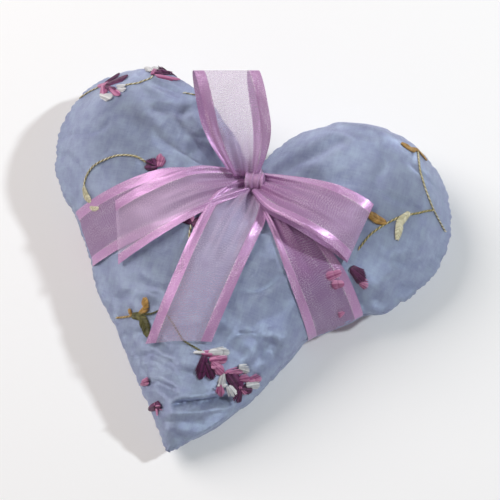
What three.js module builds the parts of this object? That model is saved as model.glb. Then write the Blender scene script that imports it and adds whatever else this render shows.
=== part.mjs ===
// Heart-shaped lavender sachet, tied with a sheer ribbon bow. Millimetres, +Z up.
// It lies on its back panel on Z = 0. +Y runs from the tip of the heart to its cleft.
import * as THREE from "three";

// Outline of the heart
const lobeRadius = 36.5;
const lobeGap = 1.5; // half the space between the two lobes
const cleftRounding = 0.5; // how much rounder the foot of the cleft is than that space
const lobeCentreY = 27;
const tipY = -76;
const tipRadius = 5;

// Stuffed shape
const seamAtLobes = 18; // height of the seam above the table
const seamAtTip = 6;
const frontRise = 28; // crown of the front panel above the seam
const backDrop = 26; // fullness of the back panel before the table flattens it
const tableBend = 3; // how softly the back turns up from the table
const ribbonPress = 2; // how deep the tied ribbon presses into the cloth
const pressFade = 12; // width over which that groove fades out
const knotDimple = 5.5; // how deep the cloth is drawn in at the knot
const dimpleRadius = 26;
const restPlaceY = -28; // middle of the flat patch it rests on, which is the origin

// Cloth, thread and the fits between pieces
const silkThickness = 0.6;
const seamGap = 0.9; // between the two turned-in allowances
const allowance = 4; // seam allowance turned inside
const threadDiameter = 0.4;
const seamInset = 1.8; // seam line behind the edge
const turningGap = 40; // length closed by hand
const clearance = 0.3;
const fillClearance = 0.9;
const cleftSlack = 2.2; // how much looser the filling sits at the cleft
const cleftSlackNear = 8; // from the cleft, where that is full
const cleftSlackFar = 30; // from the cleft, where it has gone
const bandSeat = 0.65; // between the ribbon and the cloth it is drawn against

// Embroidery
const padThickness = 0.5;
const vineDiameter = 0.8;
const flowerRadius = 4.6;
const leafLength = 9;
const leafWidth = 3.6;

// Ribbon
const ribbonWidth = 22;
const ribbonThickness = 0.5;
const gatheredWidth = 7; // band or loop where it goes into the knot
const tailGather = 3; // tail where it leaves the knot
const tailSeat = 0.75; // between a tail and the band under it
const strapDiameter = 1.8; // ribbon bunched up in the cleft
const strapSeat = 0.8;
const bandBearings = [190.5, -16.5]; // where the bands cross the seam, left and right
const bandFanLength = 34; // distance over which a band opens to its full width
const knotBelowCleft = 9.5;
const knotAside = 2;
const knotRadius = 4.2;
const knotClearance = 0.5; // from the knot to a loop or tail
const bandKnotClearance = 1; // from the knot to a band
const backStart = 4; // from the middle to each back band, where the two come together
const loopGap = 14; // inside height of a bow loop
const loopLength = 46;
const layerGap = 0.7; // each layer of a loop above or below its axis at the knot
const upperLoopBearing = 124;
const upperLoopLift = 40;
const upperLoopTwist = -19; // turn of its ribbon face about the vertical
const rightLoopBearing = -16;
const rightLoopTwist = 10;
const leftTailBearing = 219;
const leftTailLength = 54;
const lowerTailBearing = 263;
const lowerTailLength = 68;
const tailFanLength = 38; // distance over which a tail opens to its full width
const tailSettle = 14; // distance over which a tail comes down onto the cloth

// Where each motif lies: bearing from the middle of the heart, share of the way to the seam, turn
const flowers = [
  [143.6, 0.87, 20],
  [129, 0.86, 60],
  [152.5, 0.44, 0],
  [-173, 0.21, 30],
  [-80.5, 0.68, 10],
  [-66.5, 0.83, 40],
  [-104, 0.9, 15],
  [2, 0.66, 50],
];
const leaves = [
  [176.5, 0.87, 80],
  [-124, 0.73, 65],
  [-117.5, 0.83, 110],
  [46, 0.86, 20],
  [26.5, 0.72, 60],
  [21.5, 0.56, 10],
];
const vines = [
  [[151, 0.965], [149.8, 0.94], [148.8, 0.915]],
  [[138.6, 0.89], [136.6, 0.905], [134, 0.895]],
  [[127, 0.745], [124.5, 0.75], [122, 0.745]],
  [[156.5, 0.55], [159, 0.62], [163.6, 0.7], [169, 0.76], [172, 0.79]],
  [[-152, 0.33], [-140, 0.31], [-128, 0.33]],
  [[-131, 0.96], [-128, 0.9], [-124.5, 0.84], [-121.5, 0.79]],
  [[-113, 0.7], [-107, 0.62], [-99, 0.59], [-92, 0.585]],
  [[42, 0.83], [36, 0.84], [30, 0.86], [24.5, 0.9], [20.5, 0.965]],
  [[24.5, 0.83], [22, 0.76], [18.5, 0.68], [14, 0.64]],
];

const silkBlue = 0x97a5c3;
const silkBack = 0x9aa6c4;
const lavenderGrey = 0x7d7391;
const threadGrey = 0x8f9bb8;
const plumThread = 0x7a3f74;
const leafGold = 0xb09a4e;
const vineGold = 0xa99a6a;
const ribbonPink = 0xc9a0cf;
const ribbonDeep = 0xb387bb;

const degrees = Math.PI / 180;

const smooth = (a, b, x) => THREE.MathUtils.smoothstep(x, a, b);

const point = (x, y, z) => new THREE.Vector3(x, y, z);

// Heart outline: cleft, lobe, straight side and tip, then the same mirrored
const lobeX = lobeRadius + lobeGap;
const cleftRadius = lobeGap + cleftRounding;
const cleftRise = Math.sqrt((lobeRadius + cleftRadius) ** 2 - lobeX ** 2);
const cleftCentreY = lobeCentreY + cleftRise;
const cleftY = cleftCentreY - cleftRadius;
const tipCentreY = tipY + tipRadius;
const sideBearing = Math.atan2(tipCentreY - lobeCentreY, -lobeX);
const sideLength = Math.hypot(lobeX, tipCentreY - lobeCentreY);
const sideNormal = sideBearing + Math.acos((lobeRadius - tipRadius) / sideLength);

function rightHalfCurves() {
  const cleftTurn = Math.atan2(-cleftRise, lobeX);
  const arc = (x, y, radius, from, to, clockwise) => (
    new THREE.EllipseCurve(x, y, radius, radius, from, to, clockwise)
  );
  const cleft = arc(0, cleftCentreY, cleftRadius, -Math.PI / 2, cleftTurn, false);
  const lobe = arc(lobeX, lobeCentreY, lobeRadius, cleftTurn + Math.PI, sideNormal, true);
  const tip = arc(0, tipCentreY, tipRadius, sideNormal, -Math.PI / 2, true);
  const side = new THREE.LineCurve(lobe.getPoint(1), tip.getPoint(0));
  return [cleft, lobe, side, tip];
}

// The outline with a chosen number of points in the cleft, lobe, side and tip of each half
function outlinePoints(cleftSteps, lobeSteps, sideSteps, tipSteps) {
  const half = [];
  const steps = [cleftSteps, lobeSteps, sideSteps, tipSteps];
  rightHalfCurves().forEach((curve, i) => {
    half.push(...curve.getSpacedPoints(steps[i]).slice(i ? 1 : 0));
  });
  const mirrored = half.slice(1, -1).map((p) => new THREE.Vector2(-p.x, p.y));
  return half.concat(mirrored.reverse());
}

const edge = outlinePoints(6, 90, 60, 12);
const edgeSteps = edge.map((p, i) => {
  const next = edge[(i + 1) % edge.length];
  const along = next.clone().sub(p);
  const normal = new THREE.Vector2(-along.y, along.x).normalize();
  const middle = p.clone().add(next).multiplyScalar(0.5);
  return { middle, normal, length: along.length() };
});

// Distance from the middle of the heart to its edge on a bearing
function edgeReach(bearing) {
  const ray = new THREE.Vector2(Math.cos(bearing), Math.sin(bearing));
  let reach = 0;
  edge.forEach((p, i) => {
    const along = edge[(i + 1) % edge.length].clone().sub(p);
    const cross = ray.x * along.y - ray.y * along.x;
    const t = (p.x * along.y - p.y * along.x) / cross;
    const u = (p.x * ray.y - p.y * ray.x) / cross;
    if (t > 0 && u >= -1e-6 && u <= 1 + 1e-6) reach = Math.max(reach, t);
  });
  return reach;
}

function planPoint(bearing, share) {
  const reach = edgeReach(bearing * degrees) * share;
  return new THREE.Vector2(Math.cos(bearing * degrees), Math.sin(bearing * degrees)).multiplyScalar(reach);
}

// Smooth distance from the edge: wide places are deep, narrow places shallow
function depth(x, y) {
  let sum = 0;
  for (const step of edgeSteps) {
    const dx = step.middle.x - x;
    const dy = step.middle.y - y;
    const facing = Math.max(0, dx * step.normal.x + dy * step.normal.y);
    sum += (facing * step.length) / (dx * dx + dy * dy) ** 2;
  }
  return Math.sqrt(Math.PI / 2 / sum);
}

const middleDepth = depth(0, 0);

function fullness(x, y) {
  const reach = edgeReach(Math.atan2(y, x));
  if (Math.hypot(x, y) > reach - 0.01) return 0;
  return Math.sqrt(depth(x, y) / middleDepth);
}

const knotPlace = new THREE.Vector2(knotAside, cleftY - knotBelowCleft);
const bandEnds = bandBearings.map((bearing) => planPoint(bearing, 1));

function distanceToBand(x, y) {
  const place = new THREE.Vector2(x, y);
  const spans = bandEnds.map((end) => {
    const along = end.clone().sub(knotPlace);
    const share = place.clone().sub(knotPlace).dot(along) / along.lengthSq();
    const nearest = knotPlace.clone().addScaledVector(along, THREE.MathUtils.clamp(share, 0, 1));
    return nearest.distanceTo(place);
  });
  return Math.min(...spans);
}

function pressed(x, y) {
  const half = ribbonWidth / 2 + 3.5;
  return ribbonPress * (1 - smooth(half, half + pressFade, distanceToBand(x, y)));
}

const tipToTop = lobeCentreY + lobeRadius - tipY;

function seamHeight(y) {
  return seamAtTip + ((seamAtLobes - seamAtTip) * (y - tipY)) / tipToTop;
}

function dimple(x, y) {
  const fromKnot = Math.hypot(x - knotPlace.x, y - knotPlace.y);
  return knotDimple * (1 - smooth(0, dimpleRadius, fromKnot));
}

function frontHeight(x, y) {
  const full = fullness(x, y);
  const drawnIn = (pressed(x, y) / 2 + dimple(x, y)) * Math.min(1, full * 2);
  return seamHeight(y) + seamGap / 2 + frontRise * full - drawnIn;
}

// Flat on the table, with a soft turn up to the side
function restOnTable(z) {
  if (z <= -tableBend) return 0;
  return z >= tableBend ? z : (z + tableBend) ** 2 / (4 * tableBend);
}

function backHeight(x, y) {
  const full = fullness(x, y);
  const lifted = (pressed(x, y) + dimple(x, y) / 2) * Math.min(1, full * 2);
  return restOnTable(seamHeight(y) - seamGap / 2 - backDrop * full) + lifted;
}

// Outward direction of the front (side 1) or back (side -1) of the pouch
function outward(x, y, side) {
  const height = side > 0 ? frontHeight : backHeight;
  const reach = 0.4;
  const slopeX = (height(x + reach, y) - height(x - reach, y)) / (2 * reach);
  const slopeY = (height(x, y + reach) - height(x, y - reach)) / (2 * reach);
  return point(-slopeX, -slopeY, 1).multiplyScalar(side).normalize();
}

function clothPoint(x, y, side, lift) {
  const z = side > 0 ? frontHeight(x, y) : backHeight(x, y);
  return point(x, y, z).addScaledVector(outward(x, y, side), lift);
}

// A closed body through rings of points. A ring of one point is a pole,
// and an end without a pole is closed across its ring.
function ringBody(rings) {
  const positions = [];
  const starts = rings.map((ring) => {
    const start = positions.length / 3;
    ring.forEach((p) => positions.push(p.x, p.y, p.z));
    return start;
  });
  const indices = [];
  const bridge = (a, b) => {
    const count = Math.max(rings[a].length, rings[b].length);
    for (let k = 0; k < count; k++) {
      const next = (k + 1) % count;
      const a0 = starts[a] + (rings[a].length > 1 ? k : 0);
      const a1 = starts[a] + (rings[a].length > 1 ? next : 0);
      const b0 = starts[b] + (rings[b].length > 1 ? k : 0);
      const b1 = starts[b] + (rings[b].length > 1 ? next : 0);
      if (a0 !== a1) indices.push(a0, a1, b1);
      if (b0 !== b1) indices.push(a0, b1, b0);
    }
  };
  const cap = (ring, flip) => {
    const count = rings[ring].length;
    for (let k = 0; k < count / 2 - 1; k++) {
      const s = starts[ring];
      const quad = [s + k, s + k + 1, s + count - 2 - k, s + count - 1 - k];
      if (flip) quad.reverse();
      indices.push(quad[0], quad[2], quad[1], quad[0], quad[3], quad[2]);
    }
  };
  for (let i = 0; i + 1 < rings.length; i++) bridge(i, i + 1);
  if (rings[0].length > 1) cap(0, false);
  if (rings.at(-1).length > 1) cap(rings.length - 1, true);
  const corners = indices.map((i) => point(...positions.slice(3 * i, 3 * i + 3)));
  let volume = 0;
  for (let i = 0; i < corners.length; i += 3) {
    volume += corners[i].dot(corners[i + 1].clone().cross(corners[i + 2]));
  }
  if (volume < 0) indices.reverse();
  const geometry = new THREE.BufferGeometry();
  geometry.setAttribute("position", new THREE.Float32BufferAttribute(positions, 3));
  geometry.setIndex(indices);
  geometry.computeVertexNormals();
  return geometry;
}

// A strip of cloth: rows of points on its lower face and the same rows on its upper face
function stripBody(lower, upper) {
  return ringBody(lower.map((row, i) => row.concat(upper[i].slice().reverse())));
}

const sachet = new THREE.Group();
sachet.name = "lavender_sachet";

function add(name, geometry, color, roughness) {
  const mesh = new THREE.Mesh(geometry, new THREE.MeshStandardMaterial({ color, roughness }));
  mesh.name = name;
  sachet.add(mesh);
}

// Pouch: two panels, the filling and the threads
const rays = outlinePoints(2, 17, 6, 2);
const rayNormals = rays.map((p, i) => {
  const before = rays[(i + rays.length - 1) % rays.length];
  const after = rays[(i + 1) % rays.length];
  return new THREE.Vector2(before.y - after.y, after.x - before.x).normalize().negate();
});
const turnedIn = Math.min(allowance, tipRadius * 0.85);

// A ring behind the edge at a height above or below the seam
function rimRing(inset, side, above) {
  return rays.map((p, i) => {
    const place = p.clone().addScaledVector(rayNormals[i], inset);
    return point(place.x, place.y, seamHeight(place.y) + side * above);
  });
}

function domeRing(share, side, lift) {
  return rays.map((p) => clothPoint(p.x * share, p.y * share, side, lift));
}

const panelShares = [0.2, 0.38, 0.54, 0.68, 0.8, 0.9, 0.965];

function panelBody(side) {
  const outside = panelShares.map((share) => domeRing(share, side, 0));
  const inside = panelShares.map((share) => domeRing(share, side, -silkThickness)).reverse();
  return ringBody([
    [clothPoint(0, 0, side, 0)],
    ...outside,
    rimRing(0, side, seamGap / 2),
    rimRing(turnedIn, side, seamGap / 2),
    rimRing(turnedIn, side, seamGap / 2 + silkThickness),
    rimRing(silkThickness + clearance, side, seamGap / 2 + silkThickness),
    ...inside,
    [clothPoint(0, 0, side, -silkThickness)],
  ]);
}

const fillShares = panelShares.slice(0, -1);

// The filling does not pack into the foot of the cleft
function fillRing(share, side, lift) {
  return rays.map((p) => {
    const away = smooth(cleftSlackNear, cleftSlackFar, Math.hypot(p.x, p.y - cleftY));
    const slack = THREE.MathUtils.lerp(cleftSlack, 1, away);
    return clothPoint(p.x * share, p.y * share, side, lift * slack);
  });
}

function fillingBody() {
  const lift = -silkThickness - fillClearance;
  const pastAllowance = seamGap / 2 + silkThickness + clearance;
  const fillInset = turnedIn * 0.7;
  const upper = fillShares.map((share) => fillRing(share, 1, lift));
  const lower = fillShares.map((share) => fillRing(share, -1, lift)).reverse();
  return ringBody([
    [clothPoint(0, 0, 1, lift)],
    ...upper,
    rimRing(fillInset, 1, pastAllowance),
    rimRing(turnedIn + clearance, 1, pastAllowance),
    rimRing(turnedIn + clearance, -1, pastAllowance),
    rimRing(fillInset, -1, pastAllowance),
    ...lower,
    [clothPoint(0, 0, -1, lift)],
  ]);
}

add("front_panel", panelBody(1), silkBlue, 0.45);
add("back_panel", panelBody(-1), silkBack, 0.45);
add("lavender_filling", fillingBody(), lavenderGrey, 0.95);

// A round thread along a curve
function threadBody(points, diameter, sides, steps) {
  const section = new THREE.Shape();
  section.absarc(0, 0, diameter / 2, 0, 2 * Math.PI, false);
  const curve = new THREE.CatmullRomCurve3(points, false, "centripetal");
  return new THREE.ExtrudeGeometry(section, {
    steps,
    extrudePath: curve,
    curveSegments: sides,
    bevelEnabled: false,
  });
}

// The seam runs from the far end of the turning gap all round to its near end
const seamLine = rimRing(seamInset, 1, 0);
const halfRays = rays.length / 2;
const sideStart = halfRays + 3;
const sideSpan = seamLine[sideStart].distanceTo(seamLine[sideStart + 1]);
const gapSteps = THREE.MathUtils.clamp(Math.round(turningGap / sideSpan), 1, 4);
const gapEnd = sideStart + gapSteps;
const machined = seamLine.slice(gapEnd).concat(seamLine.slice(0, sideStart + 1));
const tuck = clearance + threadDiameter;
const handStart = seamLine[sideStart].clone().lerp(seamLine[sideStart + 1], tuck / sideSpan);
const handEnd = seamLine[gapEnd].clone().lerp(seamLine[gapEnd - 1], tuck / sideSpan);
add("seam_thread", threadBody(machined, threadDiameter, 2, machined.length * 2), threadGrey, 0.7);
add("closing_thread", threadBody([handStart, handEnd], threadDiameter, 2, 4), threadGrey, 0.7);

// Embroidery: stitched pads on the front panel, from their outline in the plane of the cloth
function padBody(bearing, share, turn, outline) {
  const place = planPoint(bearing, share);
  const normal = outward(place.x, place.y, 1);
  const across = point(Math.cos(turn * degrees), Math.sin(turn * degrees), 0);
  const second = normal.clone().cross(across).normalize();
  const first = second.clone().cross(normal);
  const ring = (scale, lift) => outline.map((p) => {
    const x = place.x + scale * (p.x * first.x + p.y * second.x);
    const y = place.y + scale * (p.x * first.y + p.y * second.y);
    return clothPoint(x, y, 1, lift);
  });
  const top = clearance + padThickness;
  return ringBody([
    [clothPoint(place.x, place.y, 1, clearance)],
    ring(0.55, clearance),
    ring(1, clearance),
    ring(0.55, top),
    [clothPoint(place.x, place.y, 1, top)],
  ]);
}

const flowerOutline = Array.from({ length: 20 }, (_, k) => {
  const angle = (k / 20) * 2 * Math.PI;
  const radius = flowerRadius * (0.8 + 0.2 * Math.cos(5 * angle));
  return new THREE.Vector2(radius * Math.cos(angle), radius * Math.sin(angle));
});
const leafCurve = new THREE.EllipseCurve(0, 0, leafLength / 2, leafWidth / 2);
const leafOutline = leafCurve.getPoints(12).slice(0, -1);

flowers.forEach(([bearing, share, turn], i) => {
  add(`flower_${i + 1}`, padBody(bearing, share, turn, flowerOutline), plumThread, 0.5);
});
leaves.forEach(([bearing, share, turn], i) => {
  add(`leaf_${i + 1}`, padBody(bearing, share, turn, leafOutline), leafGold, 0.5);
});
vines.forEach((places, i) => {
  const points = places.map(([bearing, share]) => {
    const place = planPoint(bearing, share);
    return clothPoint(place.x, place.y, 1, clearance + vineDiameter / 2);
  });
  add(`vine_${i + 1}`, threadBody(points, vineDiameter, 3, 4 * places.length), vineGold, 0.55);
});

// Ribbon: bands tied round the heart, each a front half and a back half that meet at the seam
const bandLift = clearance + vineDiameter + clearance;
const tailLift = bandLift + ribbonThickness + tailSeat;
const acrossSteps = [-1, -0.5, 0, 0.5, 1];
const knotStart = knotRadius + knotClearance;
const bandStart = knotRadius + bandKnotClearance;

// Plan line from the knot to the seam at one place across the ribbon
function bandLine(side, across) {
  const end = bandEnds[side];
  const along = end.clone().sub(knotPlace).normalize();
  const sideways = new THREE.Vector2(-along.y, along.x);
  let near = 0;
  let far = 2 * lobeRadius + lobeX;
  const wide = (distance) => {
    const open = smooth(0, bandFanLength, distance);
    return (across / 2) * THREE.MathUtils.lerp(gatheredWidth, ribbonWidth, open);
  };
  const at = (distance) => {
    const start = knotPlace.clone().addScaledVector(along, distance);
    return start.addScaledVector(sideways, wide(distance));
  };
  for (let i = 0; i < 40; i++) {
    const middle = (near + far) / 2;
    const place = at(middle);
    if (place.length() < edgeReach(place.angle())) near = middle;
    else far = middle;
  }
  return { at, reach: near };
}

const frontSteps = [0, 0.12, 0.26, 0.4, 0.54, 0.67, 0.78, 0.87, 0.94, 0.98];

function bandRows(side, face, lift, start, steps) {
  return steps.map((step) => acrossSteps.map((across) => {
    const line = bandLine(side, across);
    const distance = THREE.MathUtils.lerp(start, line.reach, step);
    const place = line.at(distance);
    return clothPoint(place.x, place.y, face, lift(step));
  }));
}

// The row where the ribbon goes round the edge of the heart
function edgeRow(side, face, lift) {
  return acrossSteps.map((across) => {
    const line = bandLine(side, across);
    const place = line.at(line.reach);
    const away = place.clone().sub(knotPlace).normalize().multiplyScalar(lift);
    return point(place.x + away.x, place.y + away.y, seamHeight(place.y) + (face * clearance) / 2);
  });
}

function bandBody(side, face, inner, start) {
  const lift = (step) => THREE.MathUtils.lerp(inner, bandSeat, smooth(0.8, 1, step));
  const lower = bandRows(side, face, lift, start, frontSteps);
  const upper = bandRows(side, face, (step) => lift(step) + ribbonThickness, start, frontSteps);
  lower.push(edgeRow(side, face, bandSeat));
  upper.push(edgeRow(side, face, bandSeat + ribbonThickness));
  return stripBody(lower, upper);
}

add("band_front_left", bandBody(0, 1, bandLift, bandStart), ribbonPink, 0.5);
add("band_front_right", bandBody(1, 1, bandLift, bandStart), ribbonPink, 0.5);
add("band_back_left", bandBody(0, -1, bandSeat, backStart), ribbonPink, 0.5);
add("band_back_right", bandBody(1, -1, bandSeat, backStart), ribbonPink, 0.5);

// Knot of the bow, and the bunched ribbon that goes from it through the cleft to the back
const knotBase = frontHeight(knotPlace.x, knotPlace.y) + bandLift;
const knotCentre = point(knotPlace.x, knotPlace.y, knotBase + knotRadius);
const knotBody = new THREE.SphereGeometry(knotRadius, 14, 10);
knotBody.translate(knotCentre.x, knotCentre.y, knotCentre.z);
add("bow_knot", knotBody, ribbonDeep, 0.5);

const strapLift = strapDiameter / 2 + strapSeat;
const cleftPlace = point(0, cleftY + strapDiameter / 2 + clearance, seamHeight(cleftY));
const strapFront = [0.3, 0.62, 0.88].map((share) => {
  const y = THREE.MathUtils.lerp(knotPlace.y + knotRadius, cleftY, share);
  return clothPoint(knotAside * (1 - share) ** 2, y, 1, strapLift);
});
const strapBack = [0.1, 0.3, 0.55, 0.8, 1].map((share) => {
  const y = THREE.MathUtils.lerp(cleftY, knotPlace.y, share);
  return clothPoint(knotAside * share ** 2, y, -1, strapLift);
});
const strapPoints = [...strapFront, cleftPlace, ...strapBack];
add("cleft_strap", threadBody(strapPoints, strapDiameter, 4, 18), ribbonDeep, 0.5);

// Bow loop: half its inside height, and its width, at a share of the way along it
function loopOpening(along) {
  const round = 2 * Math.sqrt(along * (1 - along)) * (0.45 + 0.55 * along);
  return (loopGap / 2) * round + layerGap * Math.sqrt(1 - along);
}

function loopWidth(along) {
  return THREE.MathUtils.lerp(gatheredWidth, ribbonWidth, smooth(0, 0.75, along));
}

// Out along its upper face, round its end and back along its lower face
function loopBody(bearing, twist, tilt, axisAt) {
  const flat = point(Math.cos(bearing * degrees), Math.sin(bearing * degrees), 0);
  const out = flat.clone().multiplyScalar(Math.cos(tilt)).setZ(Math.sin(tilt));
  const up = flat.clone().multiplyScalar(-Math.sin(tilt)).setZ(Math.cos(tilt));
  const faceTurn = (bearing - 90 + twist) * degrees;
  const sideways = point(Math.cos(faceTurn), Math.sin(faceTurn), 0);
  const steps = 24;
  const rows = (offset) => Array.from({ length: steps + 1 }, (_, i) => {
    const turn = (i / steps) * 2 * Math.PI;
    const along = (1 - Math.cos(turn)) / 2;
    const layer = i <= steps / 2 ? 1 : -1;
    const bend = smooth(0.75, 1, along);
    const centre = axisAt(along);
    centre.addScaledVector(out, offset * bend);
    centre.addScaledVector(up, layer * (loopOpening(along) + offset * (1 - bend)));
    return [-0.5, 0, 0.5].map((share) => (
      centre.clone().addScaledVector(sideways, share * loopWidth(along))
    ));
  });
  return stripBody(rows(0), rows(ribbonThickness));
}

const loopReach = (along) => THREE.MathUtils.lerp(knotStart, loopLength, along);

const upperTilt = upperLoopLift * degrees;
const upperTurn = upperLoopBearing * degrees;
const upperFlat = point(Math.cos(upperTurn), Math.sin(upperTurn), 0).multiplyScalar(Math.cos(upperTilt));
const upperOut = upperFlat.setZ(Math.sin(upperTilt));
const upperAxis = (along) => knotCentre.clone().addScaledVector(upperOut, loopReach(along));
add("upper_loop", loopBody(upperLoopBearing, upperLoopTwist, upperTilt, upperAxis), ribbonPink, 0.5);

// The right loop lies on the lobe, so its axis clears the cloth under its whole width
const rightTurn = rightLoopBearing * degrees;
const rightOut = point(Math.cos(rightTurn), Math.sin(rightTurn), 0);
const rightSide = point(-rightOut.y, rightOut.x, 0);

function rightAxis(along) {
  const place = point(knotPlace.x, knotPlace.y, 0).addScaledVector(rightOut, loopReach(along));
  const heights = [-0.5, -0.25, 0, 0.25, 0.5].map((share) => {
    const under = place.clone().addScaledVector(rightSide, share * (loopWidth(along) + 2));
    return frontHeight(under.x, under.y);
  });
  const lying = Math.max(...heights) + tailLift + ribbonThickness + loopOpening(along);
  return place.setZ(Math.max(knotCentre.z, lying));
}
add("right_loop", loopBody(rightLoopBearing, rightLoopTwist, 0, rightAxis), ribbonPink, 0.5);

// Cut tails lying on the front of the heart
function tailBody(bearing, length) {
  const out = new THREE.Vector2(Math.cos(bearing * degrees), Math.sin(bearing * degrees));
  const sideways = new THREE.Vector2(-out.y, out.x);
  const steps = 12;
  const rows = (lift) => Array.from({ length: steps + 1 }, (_, i) => acrossSteps.map((across) => {
    const reach = THREE.MathUtils.lerp(knotStart, length, i / steps);
    const open = smooth(knotStart, tailFanLength, reach);
    const wide = THREE.MathUtils.lerp(tailGather, ribbonWidth, open);
    const middle = knotPlace.clone().addScaledVector(out, reach);
    const place = middle.addScaledVector(sideways, (across * wide) / 2);
    const lying = clothPoint(place.x, place.y, 1, lift);
    const leaving = point(place.x, place.y, knotCentre.z + lift - tailLift);
    const settle = smooth(knotStart, knotStart + tailSettle, reach);
    const height = Math.max(lying.z, THREE.MathUtils.lerp(leaving.z, lying.z, settle));
    return leaving.lerp(lying, settle).setZ(height);
  }));
  return stripBody(rows(tailLift), rows(tailLift + ribbonThickness));
}

add("left_tail", tailBody(leftTailBearing, leftTailLength), ribbonPink, 0.5);
add("lower_tail", tailBody(lowerTailBearing, lowerTailLength), ribbonPink, 0.5);

sachet.position.y = -restPlaceY;

export default sachet;
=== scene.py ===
# %% [markdown]
# # A lavender sachet in silk, dressed over its CAD frame
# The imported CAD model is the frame. It gives the sizes, the bodies and the joints, and every piece that
# is made below stands for one of its nodes, in the same place. Sizes are written in millimetres and are
# turned into metres when a mesh is made.

# %% Load the frame
import math

import bpy
import numpy as np
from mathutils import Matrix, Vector, noise
from mathutils.bvhtree import BVHTree
from mathutils.geometry import delaunay_2d_cdt


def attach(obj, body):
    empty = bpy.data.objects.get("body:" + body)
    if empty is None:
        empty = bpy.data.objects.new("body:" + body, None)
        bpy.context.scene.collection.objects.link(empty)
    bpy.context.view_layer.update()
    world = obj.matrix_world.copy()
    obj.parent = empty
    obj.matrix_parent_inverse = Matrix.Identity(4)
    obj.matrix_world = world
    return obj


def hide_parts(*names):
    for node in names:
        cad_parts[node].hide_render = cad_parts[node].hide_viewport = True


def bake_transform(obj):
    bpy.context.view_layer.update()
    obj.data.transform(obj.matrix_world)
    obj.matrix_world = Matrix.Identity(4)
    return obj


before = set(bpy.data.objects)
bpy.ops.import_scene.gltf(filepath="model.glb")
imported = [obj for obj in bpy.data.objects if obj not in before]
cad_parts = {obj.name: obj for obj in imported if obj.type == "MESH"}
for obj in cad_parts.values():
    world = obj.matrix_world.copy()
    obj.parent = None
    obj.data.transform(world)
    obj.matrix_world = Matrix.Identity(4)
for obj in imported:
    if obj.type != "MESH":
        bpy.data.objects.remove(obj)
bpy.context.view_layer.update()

MM = 0.001
scene = bpy.context.scene

# %% [markdown]
# ## Camera
# The sachet lies on a table and is seen steeply from above, turned a little. The camera could be placed by
# eye, but its angle was fitted to the heart's outline, so the numbers are kept here as bearings from the
# object and a distance.

# %% Camera
camera_bearing, camera_height = math.radians(17.5), math.radians(72.0)
look_at = Vector((6.66, 29.97, 15.0)) * MM
camera_distance = 440.5 * MM
towards_camera = Vector((
    math.sin(camera_bearing) * math.cos(camera_height),
    -math.cos(camera_bearing) * math.cos(camera_height),
    math.sin(camera_height),
))
camera = bpy.data.objects.new("camera", bpy.data.cameras.new("camera"))
camera.data.lens = 85.0
camera.data.sensor_width = 36.0
camera.data.clip_start = 0.01
camera.location = look_at + camera_distance * towards_camera
camera.rotation_euler = towards_camera.to_track_quat("Z", "Y").to_euler()
scene.collection.objects.link(camera)
scene.camera = camera
print("camera at", [round(v, 3) for v in camera.location])

# %% [markdown]
# ## Table and light
# A pale table, a small cool lamp from the right that throws a shadow to the left, a large warm soft box on
# the left that lights that side and makes the satin shine there, and a weak sky. Together they light the
# table about as bright as its colour is written. Lamps are given as their share of that light, because a
# share says more than watts do.

# %% Table and light
def plain_material(name, colour, roughness):
    material = bpy.data.materials.new(name)
    material.use_nodes = True
    shader = material.node_tree.nodes["Principled BSDF"]
    shader.inputs["Base Color"].default_value = (*colour, 1.0)
    shader.inputs["Roughness"].default_value = roughness
    return material


table_half = 1.5
table_mesh = bpy.data.meshes.new("table")
table_corners = [(-1, -1), (1, -1), (1, 1), (-1, 1)]
table_mesh.from_pydata([(x * table_half, y * table_half, 0.0) for x, y in table_corners], [], [(0, 1, 2, 3)])
table_mesh.materials.append(plain_material("pale_table", (0.93, 0.93, 0.94), 0.8))
table = bpy.data.objects.new("table", table_mesh)
scene.collection.objects.link(table)

def area_lamp(name, direction, distance, size, share, colour):
    """An area lamp that gives a share of the light on the table."""
    direction = Vector(direction).normalized()
    lamp = bpy.data.objects.new(name, bpy.data.lights.new(name, "AREA"))
    lamp.data.shape = "DISK"
    lamp.data.size = size
    lamp.data.energy = share * math.pi**2 * distance**2 / direction.z
    lamp.data.color = colour
    lamp.location = look_at + distance * direction
    lamp.rotation_euler = direction.to_track_quat("Z", "Y").to_euler()
    scene.collection.objects.link(lamp)
    return lamp


key = area_lamp("key", (0.65, 0.36, 0.67), 1.15, 0.08, 0.35, (0.90, 0.97, 1.0))
soft_box = area_lamp("soft_box", (-0.72, 0.20, 0.67), 1.20, 0.90, 0.53, (1.0, 0.95, 0.92))

world = bpy.data.worlds.new("studio")
world.use_nodes = True
scene.world = world
sky = world.node_tree.nodes["Background"]
sky.inputs["Color"].default_value = (1.0, 0.95, 0.92, 1.0)
sky.inputs["Strength"].default_value = 0.21
scene.view_settings.view_transform = "Standard"
print("lamps:", {lamp.name: round(lamp.data.energy, 1) for lamp in (key, soft_box)}, "W")

# %% [markdown]
# ## The heart as it is cut
# The pouch is two pieces of silk cut alike, sewn round the edge and filled. A filled pouch draws in its
# own edge, so a maker cuts it larger than it will be. The outline below is the finished heart: two round
# lobes, two straight sides and a small round tip. The list after it is how much further out the cloth is
# cut, at even steps round the edge from the cleft, down the right side to the tip and up the left.

# %% Finished outline and cut pattern
lobe_radius, lobe_gap, lobe_y = 36.5, 1.5, 55.0
tip_y, tip_radius, cleft_radius, cleft_slit = -48.0, 5.0, 2.0, 0.3
lobe_x = lobe_radius + lobe_gap
ring_steps = 480
cut_extra = [
    0.6, 2.2, 0.2, 2.9, 6.3, 8.9, 9.7, 9.1, 8.5, 7.6, 5.9, 4.0,
    3.0, 4.2, 5.4, 7.4, 8.9, 9.4, 11.1, 11.6, 6.6, -2.4, -6.5, -0.5,
]


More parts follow.
